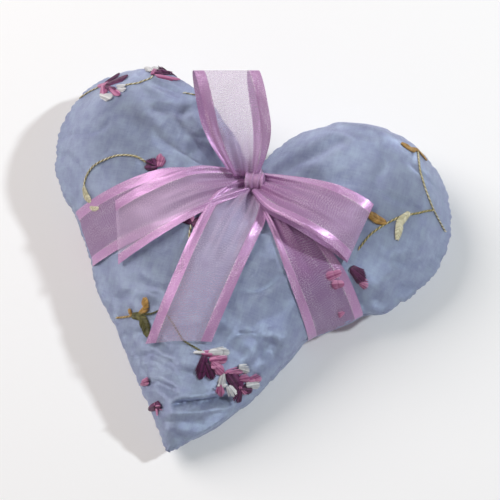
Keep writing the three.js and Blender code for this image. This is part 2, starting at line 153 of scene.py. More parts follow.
def arc(x, y, radius, start, end, count):
    turns = np.linspace(start, end, count)
    return np.stack([x + radius * np.cos(turns), y + radius * np.sin(turns)], 1)


def reach_along(points):
    """How far along a line each of its points is."""
    return np.r_[0.0, np.cumsum(np.linalg.norm(np.diff(points, axis=0), axis=1))]


def even_steps(points, count, closed):
    line = np.vstack([points, points[:1]]) if closed else np.asarray(points, float)
    reach = reach_along(line)
    at = np.linspace(0.0, reach[-1], count + 1 if closed else count)
    at = at[:-1] if closed else at
    return np.stack([np.interp(at, reach, line[:, k]) for k in range(line.shape[1])], 1)


def heart_outline():
    cleft_y = lobe_y + math.sqrt((lobe_radius + cleft_radius) ** 2 - lobe_x**2)
    to_lobe = math.atan2(lobe_y - cleft_y, lobe_x)
    tip_centre = tip_y + tip_radius
    span = math.hypot(lobe_x, lobe_y - tip_centre)
    side = math.atan2(tip_centre - lobe_y, -lobe_x) + math.acos((lobe_radius - tip_radius) / span)
    side -= 2 * math.pi if side > 0 else 0.0
    right = np.vstack([
        arc(0, cleft_y, cleft_radius, -math.pi / 2, to_lobe, 12),
        arc(lobe_x, lobe_y, lobe_radius, to_lobe + math.pi, side, 160)[1:],
        arc(0, tip_centre, tip_radius, side, -math.pi / 2, 12),
    ])
    left = right[-2:0:-1] * np.array([-1.0, 1.0])
    return even_steps(np.vstack([right, left]), ring_steps, True)


def smooth_ring(values, reach):
    weights = np.exp(-0.5 * (np.arange(-3 * reach, 3 * reach + 1) / reach) ** 2)
    wrapped = np.r_[values[-3 * reach:], values, values[:3 * reach]]
    return np.convolve(wrapped, weights / weights.sum(), "valid")


outline = heart_outline()
ring_step = np.roll(outline, -1, 0) - np.roll(outline, 1, 0)
ring_step /= np.linalg.norm(ring_step, axis=1)[:, None]
outward = np.stack([-ring_step[:, 1], ring_step[:, 0]], 1)
marks = np.arange(len(cut_extra) + 1) * ring_steps / len(cut_extra)
extra = smooth_ring(np.interp(np.arange(ring_steps), marks, cut_extra + cut_extra[:1]), 6)
pattern = outline + outward * extra[:, None]
right_half = np.arange(ring_steps) < ring_steps // 2
pattern[:, 0] = np.where(
    right_half, np.maximum(pattern[:, 0], cleft_slit), np.minimum(pattern[:, 0], -cleft_slit)
)
pattern[[0, ring_steps // 2], 0] = 0.0
print("cut size in mm:", np.ptp(pattern, axis=0).round(1), "finished:", np.ptp(outline, axis=0).round(1))

# %% [markdown]
# ## Flat cloth
# A pillow can be carved from a sphere, but then its puckers have to be drawn by hand. Here the two cut
# pieces are laid flat, one on the other, joined along their edge and filled with air by the cloth solver,
# so the puckers along the seam and the folds at the cleft come by themselves. The grid is made of equal
# triangles, because a square grid creases along its own rows.

# %% Flat cloth
cloth_step, edge_clearance = 2.5, 0.62


def inside(points, ring):
    found = np.zeros(len(points), bool)
    for (xa, ya), (xb, yb) in zip(ring, np.roll(ring, 1, 0)):
        crosses = (ya > points[:, 1]) != (yb > points[:, 1])
        run = (xb - xa) * (points[:, 1] - ya) / ((yb - ya) or 1e-9) + xa
        found ^= crosses & (points[:, 0] < run)
    return found


edge_length = np.linalg.norm(np.diff(np.vstack([pattern, pattern[:1]]), axis=0), axis=1).sum()
ring = even_steps(pattern, int(edge_length / cloth_step), True)
row_gap = cloth_step * math.sqrt(0.75)
columns = np.arange(-110.0, 110.0, cloth_step)
rows = [(columns + (k % 2) * cloth_step / 2, -80.0 + k * row_gap) for k in range(int(220 / row_gap))]
grid = np.vstack([np.stack([xs, np.full_like(xs, y)], 1) for xs, y in rows])
grid = grid[inside(grid, ring)]
edge_gap = np.array([np.hypot(*(ring - place).T).min() for place in grid])
grid = grid[edge_gap > edge_clearance * cloth_step]
edges = [(k, (k + 1) % len(ring)) for k in range(len(ring))]
cut = delaunay_2d_cdt([Vector(p) for p in np.vstack([ring, grid])], edges, [], 1, 1e-4)
flat = np.array([tuple(v) for v in cut[0]])
rim_count, flat_count = len(ring), len(flat)
triangles = np.array([tuple(f) for f in cut[2]])
a, b, c = (flat[triangles[:, k]] for k in range(3))
clockwise = np.cross(b - a, c - a) < 0
triangles[clockwise] = triangles[clockwise][:, ::-1]
under = np.where(triangles < rim_count, triangles, triangles + flat_count - rim_count)[:, ::-1]
cloth_faces = np.vstack([triangles, under])
print("flat cloth:", flat_count, "points a side,", len(cloth_faces), "triangles")

# %% [markdown]
# ## Fill the pouch
# The solver starts from a smaller copy of the pattern and lets it grow to its cut size while pressure
# fills it, so nothing jumps. The growth is keyed half-way between frames, and the scene stops there before
# every frame, because a size that changes on the frame itself may reach the solver before or after its step,
# and then no two runs are alike. Weight presses the underside flat on the table. Only the points are kept.

# %% Fill the pouch
fill_pressure, fill_frames, start_share, grow_frames = 8.0, 56, 0.88, 20
seam_low, seam_high, start_gap = 6.0, 18.0, 0.4
support_half, support_z, cloth_gap = 300.0, -1.0, 1.0


def place_object(name, points, faces, smooth=True):
    mesh = bpy.data.meshes.new(name)
    mesh.from_pydata((np.asarray(points, float) * MM).tolist(), [], [tuple(map(int, f)) for f in faces])
    mesh.polygons.foreach_set("use_smooth", [smooth] * len(mesh.polygons))
    mesh.update()
    made = bpy.data.objects.new(name, mesh)
    scene.collection.objects.link(made)
    return made


def mesh_points(mesh):
    points = np.empty(len(mesh.vertices) * 3, np.float32)
    mesh.vertices.foreach_get("co", points)
    return points.reshape(-1, 3).astype(float) / MM


def mesh_normals(mesh):
    normals = np.empty(len(mesh.vertices) * 3, np.float32)
    mesh.vertices.foreach_get("normal", normals)
    return normals.reshape(-1, 3).astype(float)


def evaluated_mesh(made):
    """A new mesh of the object with its modifiers applied."""
    return bpy.data.meshes.new_from_object(made.evaluated_get(bpy.context.evaluated_depsgraph_get()))


def remove(*objects):
    for gone in objects:
        mesh = gone.data
        bpy.data.objects.remove(gone)
        bpy.data.meshes.remove(mesh)


both = np.vstack([flat, flat[rim_count:]])
middle = np.array([0.0, 25.0])
start = middle + (both - middle) * start_share
side = np.r_[np.zeros(rim_count), np.ones(flat_count - rim_count), -np.ones(flat_count - rim_count)]
tilt = seam_low + (seam_high - seam_low) * (start[:, 1] - tip_y) / (lobe_y + lobe_radius - tip_y)
pouch = place_object("pouch_cloth", np.column_stack([start, tilt + start_gap * side]), cloth_faces)
support_points = [(x * support_half, y * support_half, support_z) for x, y in table_corners]
support = place_object("support", support_points, [(0, 1, 2, 3)])
support.modifiers.new("Collision", "COLLISION")
support.collision.thickness_outer = support.collision.thickness_inner = cloth_gap * MM
support.collision.cloth_friction = 3.0
support.collision.damping = 0.5
cloth = pouch.modifiers.new("filling", "CLOTH")
settings = cloth.settings
settings.quality = 8
settings.mass = 0.0003 * (cloth_step / 2.8) ** 2
settings.tension_stiffness, settings.compression_stiffness = 40.0, 2.0
settings.shear_stiffness, settings.bending_stiffness = 2.0, 0.003
settings.tension_damping = settings.compression_damping = settings.shear_damping = 10.0
settings.bending_damping, settings.air_damping = 0.5, 4.0
settings.use_pressure, settings.uniform_pressure_force = True, fill_pressure
for step in range(1, grow_frames + 1):
    settings.shrink_min = (1.0 - 1.0 / start_share) * (step - 1) / (grow_frames - 1)
    settings.keyframe_insert("shrink_min", frame=step - 0.5)
for grown in pouch.animation_data.action.fcurves[0].keyframe_points:
    grown.interpolation = "CONSTANT"
cloth.collision_settings.distance_min = cloth_gap * MM
cloth.collision_settings.collision_quality = 3
cloth.collision_settings.use_self_collision = False
cloth.point_cache.frame_end = fill_frames + 2
scene.frame_start, scene.frame_end = 1, fill_frames
for step in range(1, fill_frames + 1):
    scene.frame_set(step - 1, subframe=0.5)
    scene.frame_set(step)
filled = mesh_points(pouch.evaluated_get(bpy.context.evaluated_depsgraph_get()).data)
remove(pouch, support)
scene.frame_set(1)
print("filled pouch:", filled.min(0).round(1), "to", filled.max(0).round(1))

# %% [markdown]
# ## Silk skin
# The solver's grid is coarse, so it gets one round of subdivision. Every point keeps a note of the panel it
# is on, and the points of the seam are on both.

# %% Subdivide
coarse = place_object("pouch_coarse", filled, cloth_faces)
coarse.data.polygons.foreach_set("material_index", [0] * len(triangles) + [1] * len(under))
rounded = coarse.modifiers.new("rounded", "SUBSURF")
rounded.levels = rounded.render_levels = 1
fine_mesh = evaluated_mesh(coarse)
remove(coarse)
skin = mesh_points(fine_mesh)
skin_faces = np.array([tuple(p.vertices) for p in fine_mesh.polygons])
skin_side = np.array([p.material_index for p in fine_mesh.polygons])
front_points = np.unique(skin_faces[skin_side == 0])
back_points = np.unique(skin_faces[skin_side == 1])
on_front = np.zeros(len(skin), bool)
on_front[front_points] = True
on_rim = np.intersect1d(front_points, back_points)
print("skin:", len(skin), "points,", len(on_rim), "on the seam")

# %% [markdown]
# ## The tip
# The solver blows the tip round like a balloon, but a sewn tip is flat and sharp, because the cloth inside it
# is folded over twice. Here the lower part is narrowed until its seam runs along the two sides below, which
# are given as places across the heart at a few heights, and it is flattened by nearly as much.

# %% Draw the tip to a point
tip_top, tip_full, flatten, widest = 14.0, -8.0, 0.6, 1.15
side_y = np.array([-49.6, -43.0, -36.0, -24.0, -12.0, -2.0, 8.0])
left_side = np.array([0.0, -5.3, -11.3, -22.0, -32.2, -43.0, -54.0])
right_side = np.array([1.6, 7.8, 14.8, 23.8, 29.8, 33.6, 38.6])


def rise(low, high, value):
    share = np.clip((value - low) / (high - low), 0.0, 1.0)
    return share * share * (3.0 - 2.0 * share)


below = np.minimum(skin[:, 1] - side_y[3], 0.0)
skin[:, 1] += below * ((side_y[0] - side_y[3]) / (skin[:, 1].min() - side_y[3]) - 1.0)
rim = skin[:rim_count]
lowest = rim[:, 1].argmin()
right_rim = rim[:lowest + 1][::-1][: rim_count // 4]
left_rim = rim[lowest:][: rim_count // 4]
at_y = skin[:, 1]
old_left, old_right = (np.interp(at_y, line[:, 1], line[:, 0]) for line in (left_rim, right_rim))
seam_z = sum(np.interp(at_y, line[:, 1], line[:, 2]) for line in (left_rim, right_rim)) / 2
new_left, new_right = (np.interp(at_y, side_y, line) for line in (left_side, right_side))
narrowing = np.minimum((new_right - new_left + 1.0) / (old_right - old_left + 1.0), widest)
lower = rise(tip_top, tip_full, at_y)
drawn_x = (new_left + new_right) / 2 + (skin[:, 0] - (old_left + old_right) / 2) * narrowing
drawn_z = seam_z + (skin[:, 2] - seam_z) * np.minimum(narrowing, 1.0) ** flatten
skin[:, 0] += lower * (drawn_x - skin[:, 0])
skin[:, 2] += lower * (drawn_z - skin[:, 2])
print("narrowed to", narrowing[lower > 0.9].min().round(2), "of its width at the tip")

# %% [markdown]
# ## As full as the frame
# The solver knows how silk folds, but not how many flower buds went in. The frame does, so the pouch is
# raised to it: the height that is missing at every point is smoothed over the skin until only the large form
# is left, and is then added. The small folds stay as the solver made them.

# %% As full as the frame
def cad_tree(node):
    mesh = bpy.data.objects[node].data
    return BVHTree.FromPolygons(mesh_points(mesh).tolist(), [tuple(p.vertices) for p in mesh.polygons])


def missing_height(tree, place, upward):
    start_z, way = (-50.0, 1) if upward else (150.0, -1)
    hit = tree.ray_cast(Vector((place[0], place[1], start_z)), Vector((0, 0, way)))[0]
    hit = hit or tree.find_nearest(Vector(place))[0]
    return hit.z - place[2]


raise_rounds = 20
cad_front, cad_back = cad_tree("front_panel"), cad_tree("back_panel")
missing = np.array([
    missing_height(cad_front if front else cad_back, place, not front) for place, front in zip(skin, on_front)
])
corners = skin_faces.shape[1]
skin_edges = np.vstack([skin_faces[:, [k, (k + 1) % corners]] for k in range(corners)])
skin_edges = np.vstack([skin_edges, skin_edges[:, ::-1]])
neighbours = np.bincount(skin_edges[:, 0], minlength=len(skin))


def spread(values, rounds):
    for _ in range(rounds):
        values = np.bincount(skin_edges[:, 0], values[skin_edges[:, 1]], len(skin)) / neighbours
    return values


missing = spread(missing, raise_rounds)
skin[:, 2] += missing
fine_mesh.vertices.foreach_set("co", (skin * MM).ravel())
fine_mesh.update()
skin_normal = mesh_normals(fine_mesh)
print("raised by", missing.min().round(1), "to", missing.max().round(1), "mm")

# %% [markdown]
# ## Press and folds
# The ribbon is tied tightly and presses a shallow channel where it lies, with a nip at the edge, so those
# points are moved in. Folds that the photograph shows and the solver can't know, such as the ones across the
# tip, are lines in plan with a width and a depth. Taffeta also keeps fine creases where it was crumpled: they
# lie where a slow noise crosses zero, which draws thin lines that wander and end.

# %% Press of the ribbon and folds
knot = np.array([2.0, 49.7, 34.9])
band_bearings = {"left": math.radians(211.6), "right": math.radians(-41.2)}
band_press, band_pinch, press_half, press_fade = 0.3, {"left": 1.0, "right": 4.0}, 9.0, 11.0
press_start, pinch_start = (2.0, 14.0), (44.0, 58.0)
crease_depth, crease_width, crumple, seam_groove, lowest_z = 0.55, 0.085, 0.22, 0.5, 0.75
ridge_share, ridge_at, ridge_width = 0.28, 1.9, 1.1
folds = [
    ([(0, -34.4), (9, -30.6), (16, -26.4)], 1.1, 2.2),
    ([(-13, -26), (-4, -24), (6, -24)], 2.2, 0.5),
    ([(-4, -41), (3, -39.5), (8, -37)], 1.4, 0.4),
    ([(-26, -15), (-18, -14), (-9, -17)], 1.4, 0.7),
    ([(-20, -22), (-14, -20.5), (-6, -22)], 1.2, 0.6),
    ([(-15, -30), (-9, -29), (-3, -30.5)], 1.3, 0.8),
    ([(-33, -4), (-25, -1), (-17, -2)], 1.5, 0.6),
    ([(17, -21), (22, -12), (26, -4)], 1.8, 0.6),
    ([(-19, -2), (-15, -16), (-13, -24)], 2.6, 0.5),
    ([(7, -4), (20, -8), (30, -6)], 2.2, 0.5),
    ([(-46, 88), (-38, 84), (-27, 80)], 1.3, 1.1),
    ([(-50, 74), (-42, 66), (-30, 58)], 2.6, 0.45),
    ([(-56, 60), (-45, 55), (-34, 52)], 2.6, 0.4),
    ([(8, 58), (18, 64), (27, 74)], 2.6, 0.9),
    ([(9, 55), (22, 55), (34, 58)], 2.8, 0.7),
    ([(60, 38), (66, 40), (71, 43)], 1.6, 0.5),
    ([(60, 31), (65, 32), (70, 33)], 1.6, 0.5),
    ([(56, 25), (60, 23), (64, 22)], 1.6, 0.45),
    ([(-24, 72), (-31, 66), (-41, 64)], 1.6, 0.6),
    ([(-52, 80), (-46, 76), (-36, 74)], 1.5, 0.6),
    ([(-8, 57), (-16, 62), (-22, 71)], 1.8, 0.9),
    ([(16, 84), (26, 80), (38, 80)], 2.2, 0.5),
]


def line_distance(places, line):
    best = np.full(len(places), 1e9)
    for p, q in zip(line[:-1], line[1:]):
        p, q = np.array(p, float), np.array(q, float)
        share = np.clip(((places - p) @ (q - p)) / ((q - p) @ (q - p)), 0.0, 1.0)
        best = np.minimum(best, np.linalg.norm(places - p - share[:, None] * (q - p), axis=1))
    return best


def bearing_vectors(bearing):
    along = np.array([math.cos(bearing), math.sin(bearing)])
    return along, np.array([-along[1], along[0]])


def noise_over(points, size, moved=(0.0, 0.0, 0.0)):
    """Smooth noise at every point. Its patches are about as large as size, in mm."""
    return np.array([noise.noise(Vector(place)) for place in points / np.array(size) + np.array(moved)])


shift = np.zeros(len(skin))
for name, bearing in band_bearings.items():
    along, across = bearing_vectors(bearing)
    reach, aside = (skin[:, :2] - knot[:2]) @ along, np.abs((skin[:, :2] - knot[:2]) @ across)
    under_band = (1.0 - rise(press_half, press_half + press_fade, aside)) * rise(*press_start, reach)
    shift -= band_press * under_band * np.where(on_front, 1.0, 0.0)
    skin[:, :2] -= along * (band_pinch[name] * under_band * rise(*pinch_start, reach))[:, None]
for line, width, depth in folds:
    gap = line_distance(skin[:, :2], line) / width
    ridge = ridge_share * np.exp(-((gap - ridge_at) / ridge_width) ** 2)
    shift += np.where(on_front, depth, 0.0) * (ridge - np.exp(-gap**2))
slow = noise_over(skin, (9.0, 15.0, 12.0))
crossing = noise_over(skin, (21.0, 15.0, 18.0), (3.0, 0.0, 0.0))
strength = noise_over(skin, (30.0, 30.0, 30.0), (0.0, 7.0, 0.0))
crease = np.exp(-((crossing / crease_width) ** 2)) * rise(-0.2, 0.35, strength)
skin += skin_normal * (shift + crumple * slow - crease_depth * crease)[:, None]
skin[on_rim] -= seam_groove * skin_normal[on_rim]
skin[:, 2] = np.maximum(skin[:, 2], lowest_z)
print("pressed skin:", skin.min(0).round(1), "to", skin.max(0).round(1))

# %% [markdown]
# ## Node helpers
# Materials are small graphs of nodes. These helpers add a node, set its plain values and join sockets, so
# that a material below reads as a list of what goes into what.

# %% Node helpers
def add_node(tree, kind, **values):
    node = tree.nodes.new(kind)
    for name, value in values.items():
        setattr(node, name, value)
    return node


def feed(tree, node, **inputs):
    for name, value in inputs.items():
        socket = node.inputs[int(name[1:])] if name[0] == "i" and name[1:].isdigit() else node.inputs[name]
        if isinstance(value, bpy.types.NodeSocket):
            tree.links.new(value, socket)
        else:
            socket.default_value = value
    return node


def maths(tree, operation, first, second=0.0):
    return feed(tree, add_node(tree, "ShaderNodeMath", operation=operation), i0=first, i1=second).outputs[0]


def times(tree, first, second):
    return maths(tree, "MULTIPLY", first, second)


def plus(tree, first, second):
    return maths(tree, "ADD", first, second)


def ramp(tree, value, low, high):
    node = add_node(tree, "ShaderNodeMapRange", interpolation_type="SMOOTHSTEP")
    return feed(tree, node, i0=value, i1=low, i2=high).outputs[0]


def blend_colour(tree, share, first, second):
    node = add_node(tree, "ShaderNodeMix", data_type="RGBA")
    return feed(tree, node, i0=share, i6=first, i7=second).outputs[2]


def scaled(tree, vector, x, y, z):
    node = add_node(tree, "ShaderNodeMapping")
    return feed(tree, node, i0=vector, i3=(x, y, z)).outputs[0]


def cloud(tree, vector, scale, detail=2.0):
    node = add_node(tree, "ShaderNodeTexNoise")
    return feed(tree, node, Vector=vector, Scale=scale, Detail=detail).outputs[0]


def new_group(name, inputs, outputs):
    group = bpy.data.node_groups.new(name, "ShaderNodeTree")
    for label, kind, value in inputs:
        socket = group.interface.new_socket(label, in_out="INPUT", socket_type=kind)
        if value is not None:
            socket.default_value = value
    for label, kind in outputs:
        group.interface.new_socket(label, in_out="OUTPUT", socket_type=kind)
    return group, group.nodes.new("NodeGroupInput").outputs, group.nodes.new("NodeGroupOutput").inputs


def place_group(tree, group, **inputs):
    node = add_node(tree, "ShaderNodeGroup", node_tree=group)
    return feed(tree, node, **inputs).outputs


def new_material(name, **constants):
    material = bpy.data.materials.new(name)
    material.use_nodes = True
    shader = material.node_tree.nodes["Principled BSDF"]
    for label, value in constants.items():
        socket = shader.inputs[label.replace("_", " ")]
        socket.default_value = (*value, 1.0) if socket.type == "RGBA" else value
    return material, material.node_tree, shader


def bump_into(tree, shader, height, strength, distance):
    node = add_node(tree, "ShaderNodeBump")
    feed(tree, node, Height=height, Strength=strength, Distance=distance)
    tree.links.new(node.outputs[0], shader.inputs["Normal"])


print("node helpers ready")

# %% [markdown]
# ## Taffeta
# Shot silk has a blue warp and a lavender weft. Face on it looks blue-grey, and where it turns away the
# lavender shows, which is what the sheen of the shader does with a tint. Slubs, the thick places in the
# yarn, run one way. The group below gives a mottled streak of colour, and a height made of fine ribs, slubs,
# crinkles and thin wrinkles. Both panels use it with their own colours.

# %% Taffeta
weave, given, result = new_group(
    "taffeta_weave",
    [
        ("Vector", "NodeSocketVector", None), ("Rib", "NodeSocketFloat", 2200.0),
        ("Slub", "NodeSocketFloat", 1.0),
    ],
    [("Streak", "NodeSocketFloat"), ("Height", "NodeSocketFloat")],
)
warp = cloud(weave, scaled(weave, given["Vector"], 220.0, 1900.0, 400.0), 1.0, 3.0)
weft = cloud(weave, scaled(weave, given["Vector"], 1900.0, 220.0, 400.0), 1.0, 3.0)
patch = cloud(weave, scaled(weave, given["Vector"], 60.0, 48.0, 54.0), 1.0, 2.0)
mottle = cloud(weave, scaled(weave, given["Vector"], 330.0, 250.0, 290.0), 1.0, 4.0)
threads = plus(weave, times(weave, warp, 0.20), times(weave, weft, 0.20))
clouds = plus(weave, times(weave, patch, 0.14), times(weave, mottle, 0.46))
weave.links.new(ramp(weave, plus(weave, threads, clouds), 0.30, 0.72), result["Streak"])
ribs = add_node(weave, "ShaderNodeTexWave", wave_type="BANDS", bands_direction="Y")
feed(weave, ribs, Vector=given["Vector"], Scale=given["Rib"], Distortion=1.2)
slubs = cloud(weave, scaled(weave, given["Vector"], 160.0, 2100.0, 800.0), 1.0, 2.0)
slub_height = times(weave, ramp(weave, slubs, 0.55, 0.8), given["Slub"])
crinkle = times(weave, cloud(weave, given["Vector"], 240.0, 3.0), 2.2)
fine_height = plus(weave, times(weave, ribs.outputs[1], 0.6), slub_height)
wrinkle = maths(weave, "ABSOLUTE", maths(weave, "SUBTRACT", cloud(weave, given["Vector"], 105.0, 2.0), 0.5))
wrinkle = times(weave, ramp(weave, wrinkle, 0.0, 0.06), 0.55)
weave.links.new(plus(weave, plus(weave, fine_height, crinkle), wrinkle), result["Height"])


def taffeta(name, face_on, streaked, turned):
    material, tree, shader = new_material(
        name, Roughness=0.46, Metallic=0.62, Sheen_Weight=0.36, Sheen_Roughness=0.35, Sheen_Tint=turned,
        Specular_IOR_Level=0.5, Anisotropic=0.35,
    )
    place = add_node(tree, "ShaderNodeTexCoord").outputs["Object"]
    cloth_look = place_group(tree, weave, Vector=place)
    colour = blend_colour(tree, cloth_look["Streak"], (*face_on, 1.0), (*streaked, 1.0))
    tree.links.new(colour, shader.inputs["Base Color"])
    bump_into(tree, shader, cloth_look["Height"], 0.60, 0.00018)
    return material


front_silk = taffeta("front_silk", (0.310, 0.350, 0.555), (0.450, 0.545, 0.695), (0.64, 0.56, 0.94))
back_silk = taffeta("back_silk", (0.310, 0.340, 0.525), (0.440, 0.520, 0.660), (0.66, 0.60, 0.92))
print("silks:", front_silk.name, back_silk.name)

# %% [markdown]
# ## Panels
# The skin is parted at the seam into the front panel and the back panel, each with the thickness of the
# silk turned inwards. They meet edge to edge, as the sewn cloth does.

# %% Panels
silk_thickness = 0.5


def as_mesh(made, name):
    """The evaluated object as one plain mesh, in place of the object with its modifier."""
    mesh = evaluated_mesh(made)
    remove(made)
    plain = bpy.data.objects.new(name, mesh)
    scene.collection.objects.link(plain)
    return plain


def panel(name, side_index, material):
    faces = skin_faces[skin_side == side_index]
    used = np.unique(faces)
    made = place_object(name, skin[used], np.searchsorted(used, faces))
    made.data.materials.append(material)
    wall = made.modifiers.new("wall", "SOLIDIFY")
    wall.thickness, wall.offset = silk_thickness * MM, -1.0
    return as_mesh(made, name)


def settle(piece, body, slot, *nodes):
    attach(piece, body)
    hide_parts(*nodes)


front_panel = panel("front_silk_panel", 0, front_silk)
back_panel = panel("back_silk_panel", 1, back_silk)
settle(front_panel, "pouch", "front_silk", "front_panel")
settle(back_panel, "pouch", "back_silk", "back_panel")
print("panels:", [len(p.data.polygons) for p in (front_panel, back_panel)], "faces")

# %% [markdown]
# ## Where the surface is
# Stitches, ribbons and thread lie on the silk. Two ray trees answer where the front and the back of the
# pouch are above a place on the table, and which way the cloth faces there.

# %% Where the surface is
ray_start, seam_middle = 200, 18.0
front_tree = BVHTree.FromPolygons(skin.tolist(), skin_faces[skin_side == 0].tolist())
back_tree = BVHTree.FromPolygons(skin.tolist(), skin_faces[skin_side == 1].tolist())


def cast(x, y, front=True):
    down = Vector((0, 0, -1 if front else 1))
    hit = (front_tree if front else back_tree).ray_cast(Vector((x, y, -ray_start * down.z)), down)
    return hit[0], hit[1]


def on_cloth(x, y, lift=0.0):
    place, normal = cast(x, y)
    if place is None:
        place, normal, _, _ = front_tree.find_nearest(Vector((x, y, seam_middle)))
    normal = normal if normal.z > -0.2 else -normal
    return np.array(place) + lift * np.array(normal), np.array(normal)


print("front height at the middle:", round(cast(0, 20)[0].z, 1))

# %% [markdown]
# ## Lavender
# Inside is dried lavender. It is never seen while the pouch is whole, yet it is a piece of its own, so it is
# here: a heap that fills the pouch to just under the silk, with buds scattered over it by Geometry Nodes.

# %% Lavender
heap_gap, bud_length, bud_density, bud_seed = 2.2, 1.6, 38000.0, 4
bud_turn = (0.5, 0.5, 6.28)


def capsule(name, sides, profile):
    points, faces = [], []
    for x, radius in profile:
        for k in range(sides):
            turn = 2 * math.pi * k / sides
            points.append((x, radius * math.cos(turn), radius * math.sin(turn)))
    for ring_index in range(len(profile) - 1):
        for k in range(sides):
            a, b = ring_index * sides + k, ring_index * sides + (k + 1) % sides
            faces.append((a, b, b + sides, a + sides))
    faces.append(tuple(range(sides)))
    faces.append(tuple(range(len(points) - sides, len(points)))[::-1])
    return place_object(name, np.array(points) / MM, [f[::-1] for f in faces])


def new_tree(name, inputs):
    tree = bpy.data.node_groups.new(name, "GeometryNodeTree")
    tree.interface.new_socket("Geometry", in_out="INPUT", socket_type="NodeSocketGeometry")
    tree.interface.new_socket("Geometry", in_out="OUTPUT", socket_type="NodeSocketGeometry")
    for label, kind in inputs:
        tree.interface.new_socket(label, in_out="INPUT", socket_type=kind)
    given = add_node(tree, "NodeGroupInput").outputs
    return tree, given, add_node(tree, "NodeGroupOutput").inputs[0]


def run_tree(made, tree, **inputs):
    modifier = made.modifiers.new("nodes", "NODES")
    modifier.node_group = tree
    for socket in tree.interface.items_tree:
        if socket.name in inputs:
            modifier[socket.identifier] = inputs[socket.name]
    return as_mesh(made, made.name.replace("_points", ""))


dried, dried_tree, dried_shader = new_material("dried_lavender", Roughness=0.85)
spots = cloud(dried_tree, add_node(dried_tree, "ShaderNodeTexCoord").outputs["Object"], 900.0)
dried_colour = blend_colour(dried_tree, spots, (0.10, 0.07, 0.17, 1.0), (0.30, 0.25, 0.38, 1.0))
dried_tree.links.new(dried_colour, dried_shader.inputs["Base Color"])
bump_into(dried_tree, dried_shader, spots, 0.5, 0.0004)

scatter, given, made_out = new_tree("scatter_buds", [
    ("Bud", "NodeSocketObject"), ("Density", "NodeSocketFloat"), ("Seed", "NodeSocketInt"),
    ("Finish", "NodeSocketMaterial"),
])
places = add_node(scatter, "GeometryNodeDistributePointsOnFaces", distribute_method="RANDOM")
feed(scatter, places, Mesh=given["Geometry"], Density=given["Density"], Seed=given["Seed"])
bud_info = feed(scatter, add_node(scatter, "GeometryNodeObjectInfo"), Object=given["Bud"])
turned = add_node(scatter, "FunctionNodeRotateRotation", rotation_space="LOCAL")
spin = add_node(scatter, "FunctionNodeRandomValue", data_type="FLOAT_VECTOR")
feed(scatter, spin, Seed=given["Seed"])
spin.inputs["Max"].default_value = bud_turn
feed(scatter, turned, Rotation=places.outputs["Rotation"], i1=spin.outputs[0])
buds = feed(
    scatter, add_node(scatter, "GeometryNodeInstanceOnPoints"), Points=places.outputs["Points"],
    Instance=bud_info.outputs["Geometry"], Rotation=turned.outputs[0],
)
heap_and_buds = add_node(scatter, "GeometryNodeJoinGeometry")
scatter.links.new(buds.outputs[0], heap_and_buds.inputs[0])
scatter.links.new(given["Geometry"], heap_and_buds.inputs[0])
real = feed(scatter, add_node(scatter, "GeometryNodeRealizeInstances"), Geometry=heap_and_buds.outputs[0])
finished = add_node(scatter, "GeometryNodeSetMaterial")
feed(scatter, finished, Geometry=real.outputs[0], Material=given["Finish"])
scatter.links.new(finished.outputs[0], made_out)

pressed_skin = place_object("skin_for_normals", skin, skin_faces)
skin_normal = mesh_normals(pressed_skin.data)
remove(pressed_skin)
bud_profile = [(-0.5, 0.06), (-0.2, 0.22), (0.25, 0.2), (0.5, 0.05)]
bud = capsule("bud", 6, [(x * bud_length * MM, r * bud_length * MM) for x, r in bud_profile])
heap = place_object("lavender_filling_points", skin - heap_gap * skin_normal, skin_faces)
lavender = run_tree(heap, scatter, Bud=bud, Density=bud_density, Seed=bud_seed, Finish=dried)
lavender.name = "lavender_buds"
remove(bud)
settle(lavender, "pouch", "lavender", "lavender_filling")
print("lavender:", len(lavender.data.polygons), "faces")

# %% [markdown]
# ## Stitches
# Every stitch is one short, thick thread. The script decides where each goes, which way it runs, how large it
# is and which of up to three threads it is, and writes that on a point. One tree of Geometry Nodes then lays
# a small capsule on each point. Embroidery drawn into the silk as a picture would stay flat in raking light.

# %% Stitches
thread_slots = [f"Thread {k}" for k in range(3)]
lay, given, made_out = new_tree(
    "lay_stitches",
    [("Stitch", "NodeSocketObject")] + [(label, "NodeSocketMaterial") for label in thread_slots],
)


def attribute(tree, name, kind):
    return feed(tree, add_node(tree, "GeometryNodeInputNamedAttribute", data_type=kind), Name=name).outputs[0]


stitch_points = feed(lay, add_node(lay, "GeometryNodeMeshToPoints"), Mesh=given["Geometry"]).outputs[0]
ahead = add_node(lay, "FunctionNodeAlignRotationToVector", axis="X")
feed(lay, ahead, Vector=attribute(lay, "ahead", "FLOAT_VECTOR"))
upright = add_node(lay, "FunctionNodeAlignRotationToVector", axis="Z", pivot_axis="X")
feed(lay, upright, Rotation=ahead.outputs[0], Vector=attribute(lay, "up", "FLOAT_VECTOR"))
stitch_info = feed(lay, add_node(lay, "GeometryNodeObjectInfo"), Object=given["Stitch"])
laid = feed(
    lay, add_node(lay, "GeometryNodeInstanceOnPoints"), Points=stitch_points,
    Instance=stitch_info.outputs["Geometry"], Rotation=upright.outputs[0],
    Scale=attribute(lay, "size", "FLOAT_VECTOR"),
)
shape = feed(lay, add_node(lay, "GeometryNodeRealizeInstances"), Geometry=laid.outputs[0]).outputs[0]
for k, label in enumerate(thread_slots):
    chosen = add_node(lay, "FunctionNodeCompare", data_type="INT", operation="EQUAL")
    feed(lay, chosen, i2=attribute(lay, "dye", "INT"), i3=k)
    dyed = add_node(lay, "GeometryNodeSetMaterial")
    feed(lay, dyed, Geometry=shape, Selection=chosen.outputs[0], Material=given[label])
    shape = dyed.outputs[0]
lay.links.new(shape, made_out)

